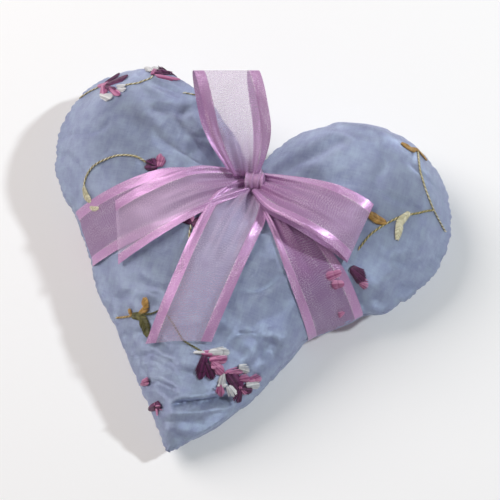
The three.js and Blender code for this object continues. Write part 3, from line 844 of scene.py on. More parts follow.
gloss, given, result = new_group(
    "thread_colour",
    [("Dark", "NodeSocketColor", None), ("Light", "NodeSocketColor", None)],
    [("Colour", "NodeSocketColor")],
)
tone = add_node(gloss, "ShaderNodeAttribute", attribute_name="tone").outputs["Fac"]
gloss.links.new(blend_colour(gloss, tone, given["Dark"], given["Light"]), result["Colour"])


def thread(name, dark, light, roughness=0.42):
    material, tree, shader = new_material(
        name, Roughness=roughness, Sheen_Weight=0.14, Sheen_Roughness=0.4, Sheen_Tint=light,
        Specular_IOR_Level=0.5,
    )
    tinted = place_group(tree, gloss, Dark=(*dark, 1.0), Light=(*light, 1.0))["Colour"]
    tree.links.new(tinted, shader.inputs["Base Color"])
    fibre = cloud(tree, add_node(tree, "ShaderNodeTexCoord").outputs["Object"], 5200.0)
    bump_into(tree, shader, fibre, 0.3, 0.00008)
    return material


plum = thread("plum_thread", (0.030, 0.004, 0.026), (0.17, 0.028, 0.125))
pink = thread("pink_thread", (0.30, 0.060, 0.18), (0.70, 0.30, 0.50))
white = thread("white_thread", (0.48, 0.48, 0.52), (0.86, 0.86, 0.86))
gold = thread("gold_thread", (0.34, 0.25, 0.09), (0.64, 0.53, 0.27))
olive = thread("olive_thread", (0.075, 0.070, 0.020), (0.20, 0.19, 0.065))
amber = thread("amber_thread", (0.27, 0.14, 0.030), (0.56, 0.33, 0.09))
straw = thread("straw_thread", (0.50, 0.46, 0.29), (0.80, 0.76, 0.58))
bronze = thread("bronze_thread", (0.16, 0.13, 0.05), (0.38, 0.31, 0.14))
sewing = thread("sewing_thread", (0.20, 0.22, 0.36), (0.34, 0.37, 0.52), 0.5)

half_stitch = [(0.25, 0.5), (0.44, 0.30), (0.5, 0.10)]
stitch = capsule("stitch", 6, [(-x, radius) for x, radius in half_stitch[::-1]] + half_stitch)
longest_piece, overlap_share, overlap_end = 3.0, 1.18, 0.2
draw = np.random.default_rng(11)


def lay_stitches(name, rows, threads):
    """rows: place, direction, up, (length, width, height) in mm, thread number, tone"""
    marks_made = place_object(f"{name}_points", [row[0] for row in rows], [])
    mesh = marks_made.data
    for label, column in (("ahead", 1), ("up", 2), ("size", 3)):
        values = np.array([row[column] for row in rows], float) * (MM if label == "size" else 1.0)
        mesh.attributes.new(label, "FLOAT_VECTOR", "POINT").data.foreach_set("vector", values.ravel())
    mesh.attributes.new("dye", "INT", "POINT").data.foreach_set("value", [row[4] for row in rows])
    mesh.attributes.new("tone", "FLOAT", "POINT").data.foreach_set("value", [row[5] for row in rows])
    inputs = {label: threads[min(k, len(threads) - 1)] for k, label in enumerate(thread_slots)}
    made = run_tree(marks_made, lay, Stitch=stitch, **inputs)
    for label in ("ahead", "up", "size", "dye"):
        if label in made.data.attributes:
            made.data.attributes.remove(made.data.attributes[label])
    return made


def strand(rows, start, end, width, height, lift, dye):
    """One satin strand from plan place to plan place, in pieces short enough to follow the cloth."""
    start, end = np.array(start, float), np.array(end, float)
    pieces = max(1, math.ceil(np.linalg.norm(end - start) / longest_piece))
    shade = draw.uniform(0.0, 1.0)
    for k in range(pieces):
        a, _ = on_cloth(*(start + (end - start) * k / pieces), lift)
        b, _ = on_cloth(*(start + (end - start) * (k + 1) / pieces), lift)
        centre, up = on_cloth(*(start + (end - start) * (k + 0.5) / pieces), lift)
        run = b - a
        span = np.linalg.norm(run)
        size = (span * overlap_share + overlap_end, width, height)
        rows.append((centre, run / span, up, size, dye, shade))


print("stitch:", len(stitch.data.polygons), "faces")

# %% [markdown]
# ## Flowers
# Each flower is a handful of petals. A petal is satin stitch: strands side by side from its root to its tip,
# raised a little in the middle by the padding stitches under them. The list gives the thread, the root, the
# tip and the width of every petal, in plan.

# %% Flowers
strand_width, strand_height, petal_plump, strand_overlap = 0.42, 0.5, 1.15, 1.5
petal_root, petal_tip, petal_round, padding_low, padding_rise = 0.38, 0.66, 0.30, 0.15, 0.55
dyes = {"plum": 0, "pink": 1, "white": 2}
petals = {
    "flower_1": [
        ("plum", (-64.8, 74.1), (-62.0, 79.6), 1.8), ("plum", (-63.5, 72.4), (-57.1, 76.6), 2.1),
        ("plum", (-63.4, 71.2), (-58.7, 69.2), 1.5), ("pink", (-68.0, 73.5), (-63.7, 73.2), 1.9),
        ("pink", (-65.1, 72.0), (-62.4, 66.9), 1.9), ("pink", (-61.6, 70.6), (-56.1, 67.1), 1.6),
        ("white", (-63.6, 66.9), (-58.7, 65.4), 2.3), ("white", (-58.5, 71.3), (-55.4, 71.5), 1.3),
        ("white", (-57.4, 69.6), (-54.7, 69.9), 1.2),
    ],
    "flower_2": [
        ("white", (-52.8, 85.4), (-48.8, 81.4), 1.9), ("white", (-50.6, 87.0), (-47.5, 83.8), 1.8),
        ("plum", (-45.9, 81.6), (-44.7, 87.0), 1.8), ("plum", (-46.4, 80.3), (-40.0, 84.9), 2.1),
        ("plum", (-46.9, 84.6), (-45.8, 87.6), 1.3), ("pink", (-47.2, 79.2), (-48.1, 84.0), 1.5),
        ("pink", (-45.9, 79.1), (-37.7, 79.8), 1.2),
    ],
    "flower_3": [
        ("plum", (-32.5, 43.1), (-36.5, 43.8), 1.8), ("plum", (-32.3, 42.6), (-36.4, 41.6), 1.6),
        ("plum", (-33.2, 43.3), (-34.9, 45.0), 1.5), ("pink", (-32.2, 43.1), (-32.5, 46.9), 1.6),
        ("pink", (-31.4, 43.4), (-31.2, 46.4), 1.3),
    ],
    "flower_4": [
        ("plum", (-13.2, 26.0), (-9.6, 29.0), 2.2), ("plum", (-13.6, 26.0), (-17.6, 27.4), 2.2),
        ("plum", (-13.2, 25.6), (-9.0, 26.0), 2.0), ("pink", (-13.6, 26.6), (-15.8, 29.4), 1.6),
    ],
    "flower_5": [
        ("white", (0.7, -16.4), (3.9, -15.3), 0.7), ("white", (5.7, -14.7), (11.6, -12.4), 2.0),
        ("pink", (3.4, -15.8), (6.7, -14.8), 1.3), ("plum", (4.7, -16.2), (4.9, -23.1), 2.4),
        ("plum", (5.8, -18.4), (9.1, -21.9), 2.3), ("pink", (6.7, -17.0), (11.6, -14.5), 2.1),
        ("pink", (7.6, -17.6), (11.8, -19.3), 2.3), ("pink", (8.0, -19.0), (10.0, -17.7), 1.6),
    ],
    "flower_6": [
        ("pink", (12.9, -19.0), (17.7, -16.3), 1.3), ("plum", (13.6, -19.2), (17.9, -21.7), 2.4),
        ("plum", (15.1, -18.3), (19.3, -20.3), 2.4), ("white", (16.8, -15.6), (19.9, -14.9), 1.7),
        ("pink", (18.2, -18.6), (20.8, -17.3), 1.7), ("white", (12.5, -19.6), (12.7, -23.2), 1.7),
        ("white", (11.7, -23.7), (14.1, -22.6), 1.2), ("pink", (12.5, -23.6), (13.2, -26.1), 1.9),
        ("white", (15.1, -22.5), (17.6, -24.1), 2.4), ("plum", (19.2, -22.1), (18.8, -25.6), 2.3),
        ("plum", (19.2, -21.4), (22.6, -20.4), 2.1), ("pink", (18.8, -21.0), (21.2, -22.0), 1.5),
        ("white", (21.0, -19.8), (24.4, -17.4), 2.1), ("pink", (21.2, -18.0), (24.6, -15.6), 1.6),
    ],
    "flower_7": [
        ("plum", (-10.0, -37.0), (-5.9, -35.8), 2.0), ("pink", (-10.0, -37.2), (-9.5, -40.6), 1.8),
        ("pink", (-15.5, -29.5), (-12.8, -28.7), 1.6),
    ],
    "flower_8": [
        ("plum", (44.5, 29.3), (49.9, 28.2), 2.8), ("plum", (45.6, 28.4), (49.4, 27.1), 1.7),
        ("pink", (48.9, 26.9), (51.8, 26.9), 1.8), ("pink", (41.3, 26.8), (37.5, 23.7), 2.7),
        ("pink", (43.4, 24.0), (40.0, 22.0), 2.1), ("pink", (46.4, 16.6), (45.1, 15.1), 1.4),
    ],
}


def petal(rows, dye, root, tip, width):
    root, tip, width = np.array(root), np.array(tip), width * petal_plump
    along = tip - root
    aside = np.array([-along[1], along[0]]) / np.linalg.norm(along)
    for u in np.linspace(-1.0, 1.0, max(5, round(strand_overlap * width / strand_width) + 1)):
        start = root + along * 0.10 * u * u + aside * u * width * petal_root
        end = root + along * (1.10 - petal_round * u * u) + aside * u * width * petal_tip
        lift = padding_low + padding_rise * (1.0 - u * u)
        strand(rows, start, end, strand_width * 1.15, strand_height, lift, dyes[dye])


for name, shapes in petals.items():
    rows = []
    for dye, root, tip, width in shapes:
        petal(rows, dye, root, tip, width)
    flower = lay_stitches(f"embroidered_{name}", rows, (plum, pink, white))
    settle(flower, "pouch", "flower_thread", name)
    print(name, len(rows), "strands")

# %% [markdown]
# ## Leaves
# A leaf is two rows of slanting strands that meet on its rib. The rib is a curve through a few places. The
# list gives the thread, and the rib and width of each blade.

# %% Leaves
leaves = {
    "leaf_1": (straw, [
        ([(-58.5, 32.1), (-57.0, 29.7), (-54.3, 27.6)], 1.7),
        ([(-53.8, 25.9), (-51.9, 25.2), (-50.2, 25.5)], 1.4),
    ]),
    "leaf_2": (amber, [
        ([(-22.6, -7.8), (-20.9, -6.1), (-22.2, -2.8)], 2.2),
        ([(-25.5, -8.6), (-26.4, -7.8), (-27.1, -6.9)], 1.0),
    ]),
    "leaf_3": (olive, [([(-25.5, -8.7), (-21.9, -8.7), (-19.4, -11.3), (-17.5, -14.4)], 2.8)]),
    "leaf_4": (amber, [
        ([(55.6, 83.4), (53.3, 80.8), (49.4, 81.4)], 2.2),
        ([(55.6, 83.2), (57.4, 82.2), (59.6, 80.6)], 1.0),
    ]),
    "leaf_5": (straw, [([(58.8, 55.0), (56.6, 50.6), (57.3, 44.6)], 2.5)]),
    "leaf_6": (amber, [([(51.8, 48.0), (48.8, 47.8), (45.0, 48.6)], 2.7)]),
}
leaf_step, leaf_slant, leaf_strand, leaf_lift = 0.42, 0.75, (0.5, 0.55), 0.4


def soften(line, passes):
    """Moves every point but the ends half-way to the middle of its neighbours, a few times."""
    for _ in range(passes):
        line[1:-1] = 0.5 * line[1:-1] + 0.25 * (line[:-2] + line[2:])
    return line


def curve_through(places, step):
    """Even steps along a line through a few places, with its corners rounded."""
    places = np.array(places, float)
    length = np.linalg.norm(np.diff(places, axis=0), axis=1).sum()
    line = even_steps(places, max(4, int(length / step) + 1), False)
    return soften(line, max(2, int(2.0 / step)))


for name, (leaf_thread, blades) in leaves.items():
    rows = []
    for rib, width in blades:
        rib = curve_through(rib, leaf_step)
        runs = np.gradient(rib, axis=0)
        runs /= np.linalg.norm(runs, axis=1)[:, None]
        for k, (place, run) in enumerate(zip(rib, runs)):
            share = k / (len(rib) - 1)
            half = width * (0.12 + 0.42 * math.sin(math.pi * min(1.0, 0.12 + 0.84 * share)) ** 0.8)
            aside = np.array([-run[1], run[0]])
            for hand in (-1.0, 1.0):
                tip = place + half * (hand * aside + leaf_slant * run)
                strand(rows, place - 0.12 * run, tip, *leaf_strand, leaf_lift, 0)
    leaf = lay_stitches(f"embroidered_{name}", rows, (leaf_thread,))
    settle(leaf, "pouch", "leaf_thread", name)
    print(name, len(rows), "strands")

# %% [markdown]
# ## Vines
# The vines are stem stitch in two threads that wind round each other, so short slanted stitches of one colour
# and of the other follow in turn along a curve.

# %% Vines
vines = {
    "vine_1": [(-74.6, 68.6), (-71.6, 71.2), (-67.5, 72.9)],
    "vine_2": [(-58.1, 71.3), (-55.2, 72.2), (-50.6, 74.4), (-46.8, 78.6)],
    "vine_3": [(-33.4, 74.6), (-31.0, 75.3), (-28.0, 75.6)],
    "vine_4": [
        (-36.7, 43.4), (-39.1, 44.2), (-41.4, 44.6), (-45.0, 44.5), (-48.9, 43.7), (-52.2, 42.2),
        (-55.0, 40.4), (-57.0, 38.6), (-58.3, 36.5), (-58.9, 34.2), (-58.4, 31.8),
    ],
    "vine_5": [(-13.6, 25.0), (-13.2, 21.6), (-12.0, 18.2)],
    "vine_6": [(-32.1, -9.6), (-28.6, -9.4), (-25.6, -8.9)],
    "vine_7": [
        (-21.4, -8.0), (-18.1, -7.1), (-15.0, -5.2), (-10.5, -8.0), (-4.1, -13.6), (-2.0, -14.1),
        (0.8, -14.7), (3.6, -15.4),
    ],
    "vine_8": [
        (55.7, 82.6), (57.0, 77.3), (58.2, 73.6), (60.1, 69.9), (62.0, 66.8), (64.7, 63.4), (67.2, 60.8),
        (71.3, 58.4), (74.0, 57.2),
    ],
    "vine_9": [(67.2, 60.8), (61.5, 56.1), (56.1, 52.2), (51.3, 47.0), (47.6, 42.0), (45.2, 36.0)],
}
vine_step, vine_slant, full_vine, thin_vine = 0.85, math.radians(24.0), 0.48, 0.34
vine_lift, vine_stitch, vine_detail = 0.30, 1.75, 0.4
vine_threads = {"vine_6": (gold, amber), "vine_7": (olive, olive), "vine_9": (gold, olive)}

for name, line in vines.items():
    rows = []
    thick = thin_vine if name == "vine_7" else full_vine
    plan = curve_through(line, vine_detail)
    trail = np.array([on_cloth(x, y, vine_lift)[0] for x, y in plan])
    trail = even_steps(trail, max(4, len(plan) // 2), False)
    length = np.linalg.norm(np.diff(trail, axis=0), axis=1).sum()
    trail = even_steps(trail, max(3, int(length / vine_step)), False)
    for k in range(len(trail) - 1):
        centre, run = (trail[k] + trail[k + 1]) / 2, trail[k + 1] - trail[k]
        _, up = on_cloth(*centre[:2])
        run = run / np.linalg.norm(run)
        aside = np.cross(up, run)
        slanted = run * math.cos(vine_slant) + aside * math.sin(vine_slant)
        rows.append((centre, slanted, up, (vine_stitch, thick, thick), k % 2, draw.uniform(0.2, 1.0)))
    vine = lay_stitches(f"embroidered_{name}", rows, vine_threads.get(name, (straw, bronze)))
    settle(vine, "pouch", "vine_thread", name)
    print(name, len(rows), "stitches")

# %% [markdown]
# ## Seam
# The heart is sewn inside out and turned, so along the edge only the dips of the thread show. The opening it
# was filled through is on the lower left, where the stitches go over the edge from side to side.

# %% Seam
seam_ring = skin[:rim_count]
seam_out = skin_normal[:rim_count]
seam_gap, seam_stitch, seam_thick, seam_sunk = 2.4, 1.7, 0.22, 0.32
closing_stitch, closing_thick, closing_lift = 2.2, 0.45, 0.12
ring_line = np.vstack([np.column_stack([seam_ring, seam_out]), np.r_[seam_ring[0], seam_out[0]]])
ring_reach = reach_along(ring_line[:, :3])
opening = dict(low=np.array([-33.0, -31.0]), high=np.array([-13.5, -6.5]))
rows, closing_rows = [], []
for at in np.arange(0.0, ring_reach[-1] - seam_gap / 2, seam_gap):
    now = np.array([np.interp(at, ring_reach, ring_line[:, k]) for k in range(6)])
    then = np.array([np.interp(at + 0.5, ring_reach, ring_line[:, k]) for k in range(3)])
    place, up, run = now[:3], now[3:] / np.linalg.norm(now[3:]), then - now[:3]
    run /= np.linalg.norm(run)
    over = np.cross(up, run)
    if np.all(place[:2] > opening["low"]) and np.all(place[:2] < opening["high"]):
        slanted = 0.45 * run + 0.9 * over
        size = (closing_stitch, closing_thick, closing_thick)
        closing_rows.append((place + closing_lift * up, slanted, up, size, 0, draw.uniform(0.2, 1.0)))
    else:
        size = (seam_stitch, seam_thick, seam_thick)
        rows.append((place - seam_sunk * up, run, up, size, 0, draw.uniform(0.2, 1.0)))
for name, stitches in (("seam", rows), ("closing", closing_rows)):
    settle(lay_stitches(f"{name}_stitches", stitches, (sewing,)), "pouch", "sewing_thread", f"{name}_thread")
    print(name, len(stitches), "stitches")
remove(stitch)

# %% [markdown]
# ## Ribbon
# The ribbon is sheer organza between two narrow satin edges. It is one strip of points, rows along it and
# a few points across it. Its own map runs from 0 to 1 across and counts ribbon widths along, so that the
# satin edges and the watered look follow every bend. The organza is see-through by its alpha, and the satin
# edges are nearly solid. Its glints are painted highlights in its colour, and where it is gathered or given a
# pressed amount it is painted darker: partly denser cloth, partly painted shade.

# %% Ribbon cloth
ribbon_width, satin_share, across_count = 22.0, 0.165, 33
ribbon_across = np.linspace(-1.0, 1.0, across_count)

moire, given, result = new_group(
    "watered_organza",
    [("Map", "NodeSocketVector", None), ("Satin", "NodeSocketFloat", satin_share)],
    [(label, "NodeSocketFloat") for label in ("Edge", "Ripple", "Glint", "Line")],
)
across_map = feed(moire, add_node(moire, "ShaderNodeSeparateXYZ"), Vector=given["Map"]).outputs[0]
from_edge = maths(moire, "MINIMUM", across_map, maths(moire, "SUBTRACT", 1.0, across_map))
satin_edge = maths(moire, "SUBTRACT", given["Satin"], from_edge)
moire.links.new(ramp(moire, satin_edge, -0.012, 0.012), result["Edge"])
waves = add_node(moire, "ShaderNodeTexWave", wave_type="BANDS", bands_direction="Y")
feed(moire, waves, Vector=given["Map"], Scale=7.5, Distortion=12.0, Detail=1.0)
waves.inputs["Detail Scale"].default_value = 0.55
watered = ramp(moire, cloud(moire, given["Map"], 2.2), 0.35, 0.62)
moire.links.new(times(moire, ramp(moire, waves.outputs[1], 0.35, 0.95), watered), result["Ripple"])
# Glint: spots of painted highlight, brighter in long streaks along the ribbon, standing for light caught by
# the threads.
painted_glint_spots = cloud(moire, scaled(moire, given["Map"], 46.0, 60.0, 1.0), 1.0, 2.0)
shimmer = ramp(moire, cloud(moire, scaled(moire, given["Map"], 5.5, 1.6, 1.0), 1.0, 2.0), 0.40, 0.66)
painted_glints = times(moire, ramp(moire, painted_glint_spots, 0.44, 0.68), plus(moire, 0.35, shimmer))
moire.links.new(maths(moire, "MINIMUM", painted_glints, 1.0), result["Glint"])
# Line: the inner edge of each satin border, where the glints make a painted sparkle.
line = maths(moire, "ABSOLUTE", satin_edge)
moire.links.new(ramp(moire, line, 0.022, 0.006), result["Line"])


def organza(name, sheer, satin, sheer_alpha):
    material, tree, shader = new_material(
        name, Sheen_Weight=0.3, Sheen_Roughness=0.35, Sheen_Tint=(1.0, 0.86, 1.0),
        Specular_IOR_Level=0.7,
    )
    look = place_group(tree, moire, Map=add_node(tree, "ShaderNodeTexCoord").outputs["UV"])
    # The glints are painted highlights: they mix a pale pink into the sheer, the satin and the satin's inner
    # line.
    bright = (0.90, 0.74, 0.88, 1.0)
    ripple = times(tree, look["Ripple"], 0.18)
    # Where the ribbon is gathered, the sheer turns dark plum and more solid. This is partly the denser
    # bunched cloth near the knot and partly painted shade from the pressed amount a strip is given.
    gather = add_node(tree, "ShaderNodeAttribute", attribute_name="gather").outputs["Fac"]
    dense_and_shaded = blend_colour(tree, ramp(tree, gather, 0.05, 0.75), (*sheer, 1.0), (0.36, 0.14, 0.36, 1.0))
    watered_sheer = blend_colour(tree, ripple, dense_and_shaded, (0.80, 0.76, 0.90, 1.0))
    lit_sheer = blend_colour(tree, times(tree, look["Glint"], 0.40), watered_sheer, bright)
    lit_satin = blend_colour(tree, times(tree, look["Glint"], 0.60), (*satin, 1.0), bright)
    both = blend_colour(tree, look["Edge"], lit_sheer, lit_satin)
    painted_sparkle = times(tree, look["Line"], look["Glint"])
    tree.links.new(blend_colour(tree, painted_sparkle, both, (0.96, 0.88, 0.95, 1.0)), shader.inputs["Base Color"])
    seen = plus(tree, sheer_alpha, times(tree, ripple, 0.20))
    seen = plus(tree, seen, times(tree, look["Glint"], 0.10))
    seen = plus(tree, seen, times(tree, gather, 0.55))
    solid = maths(tree, "MAXIMUM", seen, times(tree, look["Edge"], 0.94))
    roughness = maths(tree, "SUBTRACT", 0.46, times(tree, look["Edge"], 0.16))
    metallic = plus(tree, 0.15, times(tree, look["Edge"], 0.25))
    feed(tree, shader, Alpha=solid, Roughness=roughness, Metallic=metallic)
    bump_into(tree, shader, look["Glint"], 0.5, 0.00022)
    return material


ribbon_look = organza("ribbon", (0.78, 0.58, 0.84), (0.59, 0.30, 0.59), 0.28)
knotted_look = organza("knotted_ribbon", (0.44, 0.22, 0.43), (0.60, 0.32, 0.58), 0.94)


def pleats(reach, depth, length, turn):
    """Gathers that leave the knot: deep there, gone at a length, with one broad fold and two narrow ones."""
    fade = (1.0 - rise(0.15 * length, length, reach)) * rise(0.0, 3.0, reach)
    broad = np.cos(2.6 * math.pi * ribbon_across + turn)
    narrow = np.cos(6.3 * math.pi * ribbon_across - 1.7 * turn)
    narrow = narrow + 0.6 * np.cos(9.1 * math.pi * ribbon_across + turn)
    return depth * fade * (broad + 0.38 * narrow)


def map_strip(made, count, place_on_map):
    """Writes the ribbon's own map. A point's row and its place in the row give its place on the map."""
    layer = made.data.uv_layers.new(name="along_ribbon")
    for loop in made.data.loops:
        layer.data[loop.index].uv = place_on_map(*divmod(loop.vertex_index, count))


def ribbon_strip(name, rows, material, pressed=0.0):
    rows = np.asarray(rows, float)
    count = len(rows)
    corner = np.arange(count * across_count).reshape(count, across_count)
    faces = np.stack([corner[:-1, :-1], corner[:-1, 1:], corner[1:, 1:], corner[1:, :-1]], -1).reshape(-1, 4)
    made = place_object(name, rows.reshape(-1, 3), faces)
    length = reach_along(rows[:, across_count // 2])
    half_across = (ribbon_across + 1) / 2
    map_strip(made, across_count, lambda row, place: (half_across[place], length[row] / ribbon_width))
    # The gather is how much narrower the ribbon is drawn, which stands for denser cloth. The pressed amount
    # is added to it, a darkening that is painted shade on the bands and loops.
    wide = np.linalg.norm(rows[:, -1] - rows[:, 0], axis=1)
    gather = np.repeat(np.clip(1.0 - wide / ribbon_width + pressed, 0.0, 1.0), across_count)
    made.data.attributes.new("gather", "FLOAT", "POINT").data.foreach_set("value", gather)
    made.data.materials.append(material)
    return made, length[-1]


print("ribbon:", ribbon_width, "mm wide, satin edges", round(satin_share * ribbon_width, 1), "mm")

# %% [markdown]
# ## Bands round the heart
# A tied ribbon is taut, so in a section along it, it is the outer hull of the pouch: it follows what bulges
# and bridges what is hollow. Each of the lines along the ribbon takes such a section from the knot, over the
# front, round the edge and back under the pouch to the cleft.

# %% Bands round the heart
# The fourth number darkens the sheer of both bands. It is painted shade, for the shadow that the right loop
# throws across them.
gathered_width, band_lift, knot_radius, band_painted_shade = 7.0, 0.8, 4.2, 0.56
reach_step, longest_reach, sure_reach, band_floor, strip_floor = 0.5, 80.0, 30.0, 0.3, 0.25
band_pleats = (0.8, 40.0, 0.2)
band_fan = {"left": 34.0, "right": 56.0}
back_end = {"top": knot[2] - 1.5, "bottom": 4.2}


def outer_hull(points):
    """The hull of a half section, from its first point over the far side to its last one."""
    kept = []
    for place in points:
        while len(kept) > 1:
            u, v = kept[-1] - kept[-2], place - kept[-2]
            if u[0] * v[1] - u[1] * v[0] < 0:
                break
            kept.pop()
        kept.append(place)
    return np.array(kept)


def rounded_line(line, count, passes):
    return soften(even_steps(line, count, False), passes)


def band_width(reach, fan):
    return gathered_width + (ribbon_width - gathered_width) * rise(0.0, fan, reach)


def section(along, across, share, fan):
    """Front and back of the pouch along one line of the ribbon, as points of reach and height."""
    front, back = [], []
    for reach in np.arange(knot_radius, longest_reach, reach_step):
        x, y = knot[:2] + along * reach + across * share * band_width(reach, fan) / 2
        top, bottom = cast(x, y)[0], cast(x, y, False)[0]
        if top is None or bottom is None:
            if reach > sure_reach:
                break
            continue
        front.append((reach, top.z + band_lift))
        back.append((reach, max(bottom.z - band_lift, band_floor)))
    front[0] = (front[0][0], back_end["top"])
    back[0] = (back[0][0], back_end["bottom"])
    edge = (front[-1][0] + band_lift + 0.2, (front[-1][1] + back[-1][1]) / 2)
    return np.array(front + [edge] + back[::-1])


def band_rows(name, count=110):
    along, across = bearing_vectors(band_bearings[name])
    fan = band_fan[name]
    lines = [rounded_line(outer_hull(section(along, across, s, fan)), count, 6) for s in ribbon_across]
    lines = soften(np.array(lines), 3)
    rows = []
    for k in range(count):
        reach, height = lines[:, k, 0], lines[:, k, 1]
        aside = ribbon_across * band_width(reach, fan) / 2
        flat_place = knot[:2] + reach[:, None] * along + aside[:, None] * across
        gather = pleats(reach, *band_pleats)
        rows.append(np.column_stack([flat_place, np.maximum(height + gather, strip_floor)]))
    return rows


for name in band_bearings:
    band, length = ribbon_strip(f"ribbon_band_{name}", band_rows(name), ribbon_look, band_painted_shade)
    settle(band, "pouch", "ribbon", f"band_front_{name}", f"band_back_{name}")
    print(name, "band:", round(length), "mm of ribbon")

# %% [markdown]
# ## Tails
# The two cut ends of the ribbon lie on the front. Each starts gathered at the knot, opens like a fan and ends
# in a slanting cut. It is stiff enough to bridge hollows, so it is a hull as well, but only of the front.

# %% Tails
tails = {
    "left_tail": dict(bearing=218.1, length=53.0, fan=(24.0, 72.0), slant=17.0, lift=2.2, wave=0.4),
    "lower_tail": dict(bearing=263.1, length=64.8, fan=17.0, slant=-22.0, lift=1.4, wave=0.7),
}
# The second number darkens the tails' sheer a little.
tail_gather, tail_darkening, tail_pleats, tail_start = 7.0, 0.10, (1.0, 40.0, 0.6), 1.5


def spread_width(reach, narrow, fan):
    """Width at a reach from the knot. A pair of fans gives the two halves of the ribbon their own pace."""
    fan = np.where(ribbon_across < 0, fan[0], fan[1]) if isinstance(fan, tuple) else fan
    return narrow + (ribbon_width - narrow) * np.sin(0.5 * math.pi * np.clip(reach / fan, 0.0, 1.0))


def laid_lines(bearing, length, fan, slant, lift, count, start_height):
    """Reach and height of each line along a ribbon that lies on the front, up to its slanting end."""
    along, across = bearing_vectors(math.radians(bearing))
    lines = []
    for place, share in enumerate(ribbon_across):
        line = []
        end = length + math.tan(math.radians(slant)) * share * ribbon_width / 2
        for reach in np.linspace(tail_start, end, 90):
            wide = spread_width(np.full(across_count, reach), tail_gather, fan)[place]
            x, y = knot[:2] + along * reach + across * share * wide / 2
            line.append((reach, on_cloth(x, y)[0][2] + lift))
        line[0] = (line[0][0], start_height)
        lines.append(rounded_line(outer_hull(np.array(line)), count, 5))
    return soften(np.array(lines), 2), along, across


def tail_rows(bearing, length, fan, slant, lift, wave, count=60):
    lines, along, across = laid_lines(bearing, length, fan, slant, lift, count, knot[2] - 0.3)
    rows = []
    for reach, height in zip(lines[:, :, 0].T, lines[:, :, 1].T):
        aside = ribbon_across * spread_width(reach, tail_gather, fan) / 2
        flat_place = knot[:2] + reach[:, None] * along + aside[:, None] * across
        gather = pleats(reach, *tail_pleats)
        drift = 0.5 * wave * rise(20.0, 40.0, reach) * (1.0 + np.sin(reach / 7.0 + 1.3 * ribbon_across))
        rows.append(np.column_stack([flat_place, height + gather + drift]))
    return rows


def hinge_blend(piece, bearing, tilt_up=0.0):
    turn, tilt_up = math.radians(bearing), math.radians(tilt_up)
    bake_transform(piece)


for name, shape in tails.items():
    tail, length = ribbon_strip(f"ribbon_{name}", tail_rows(**shape), ribbon_look, tail_darkening)
    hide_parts(name)
    hinge_blend(tail, shape["bearing"])
    print(name, round(length), "mm")

# %% [markdown]
# ## Loops
# A bow loop is ribbon that goes out, turns round its end and comes back, so its section is a flat drop. One
# loop stands up over the cleft. The other lies on the front like a tail, with its upper layer a little above
# the lower one. Near the knot both are gathered into pleats that fade out along them.

# %% Loops
# The third number darkens the lying loop's sheer. This is partly the look of its doubled layers and partly
# painted shade.
loop_steps, lying_steps, lying_layers_and_shade, loop_start = 96, 60, 0.46, 1.5
standing_pleats, lying_pleats = (0.8, 34.0), (0.9, 42.0)
upper_turn, lower_turn = 0.7, 2.2


def drop_opening(along, gap):
    swell = gap * math.sqrt(max(along * (1.0 - along), 0.0)) * (0.45 + 0.55 * along)
    return swell + 0.4 * math.sqrt(1.0 - along)


def standing_loop(bearing, twist, lift, length, gap, fan, root, flare, skew):
    turn, tilt_up = math.radians(bearing), math.radians(lift)
    flat_out = np.array([math.cos(turn), math.sin(turn), 0.0])
    out = flat_out * math.cos(tilt_up) + np.array([0, 0, math.sin(tilt_up)])
    up = -flat_out * math.sin(tilt_up) + np.array([0, 0, math.cos(tilt_up)])
    face = turn - math.pi / 2 + math.radians(twist)
    sideways = np.array([math.cos(face), math.sin(face), 0.0])
    rows = []
    for step in np.linspace(0.0, 2 * math.pi, loop_steps):
        along, upper = (1.0 - math.cos(step)) / 2, step <= math.pi
        reach = loop_start + (length - loop_start) * along
        aside = ribbon_across * spread_width(reach, gathered_width, fan) / 2
        gather = pleats(reach, *standing_pleats, upper_turn if upper else lower_turn)
        height = (1.0 if upper else -1.0) * drop_opening(along, gap) + gather
        aside = aside * (1.0 + flare * along) + root * (1.0 - along) + skew * math.sin(step)
        rows.append(knot + reach * out + np.outer(aside, sideways) + np.outer(height, up))
    return rows


def lying_loop(bearing, slant, lift, length, gap, fan):
    lines, along_out, across = laid_lines(bearing, length, fan, slant, lift, lying_steps, knot[2])
    stops = np.linspace(0.0, 1.0, lying_steps)
    rows = []
    for step in np.linspace(0.0, 2 * math.pi, loop_steps):
        along, upper = (1.0 - math.cos(step)) / 2, step <= math.pi
        reach = np.array([np.interp(along, stops, line[:, 0]) for line in lines])
        height = np.array([np.interp(along, stops, line[:, 1]) for line in lines])
        aside = ribbon_across * spread_width(reach, tail_gather, fan) / 2
        flat_place = knot[:2] + reach[:, None] * along_out + aside[:, None] * across
        opened = drop_opening(along, gap) * (1.35 - 0.65 * ribbon_across if upper else 0.0)
        gather = pleats(reach, *lying_pleats, upper_turn if upper else lower_turn)
        rows.append(np.column_stack([flat_place, height + opened + gather]))
    return rows


loops = {
    "upper_loop": (standing_loop, dict(
        bearing=124.6, twist=-17.0, lift=34.5, length=41.0, gap=12.0, fan=24.0, root=-3.0, flare=0.05,
        skew=0.7,
    )),
    "right_loop": (lying_loop, dict(
        bearing=-12.0, slant=-4.0, lift=2.2, length=43.4, gap=8.0, fan=(15.0, 40.0),
    )),
}
for name, (build, shape) in loops.items():
    pressed = 0.0 if build is standing_loop else lying_layers_and_shade
    loop, length = ribbon_strip(f"ribbon_{name}", build(**shape), ribbon_look, pressed)
    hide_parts(name)
    hinge_blend(loop, shape["bearing"], shape["lift"] if build is standing_loop else 0.0)
    print(name, round(length), "mm")

# %% [markdown]
# ## Knot and strap
# The knot is the ribbon drawn tight round itself: a small cuff with pleats that run round it. The strap is
# the same ribbon, bunched, going from the knot through the cleft to the back.

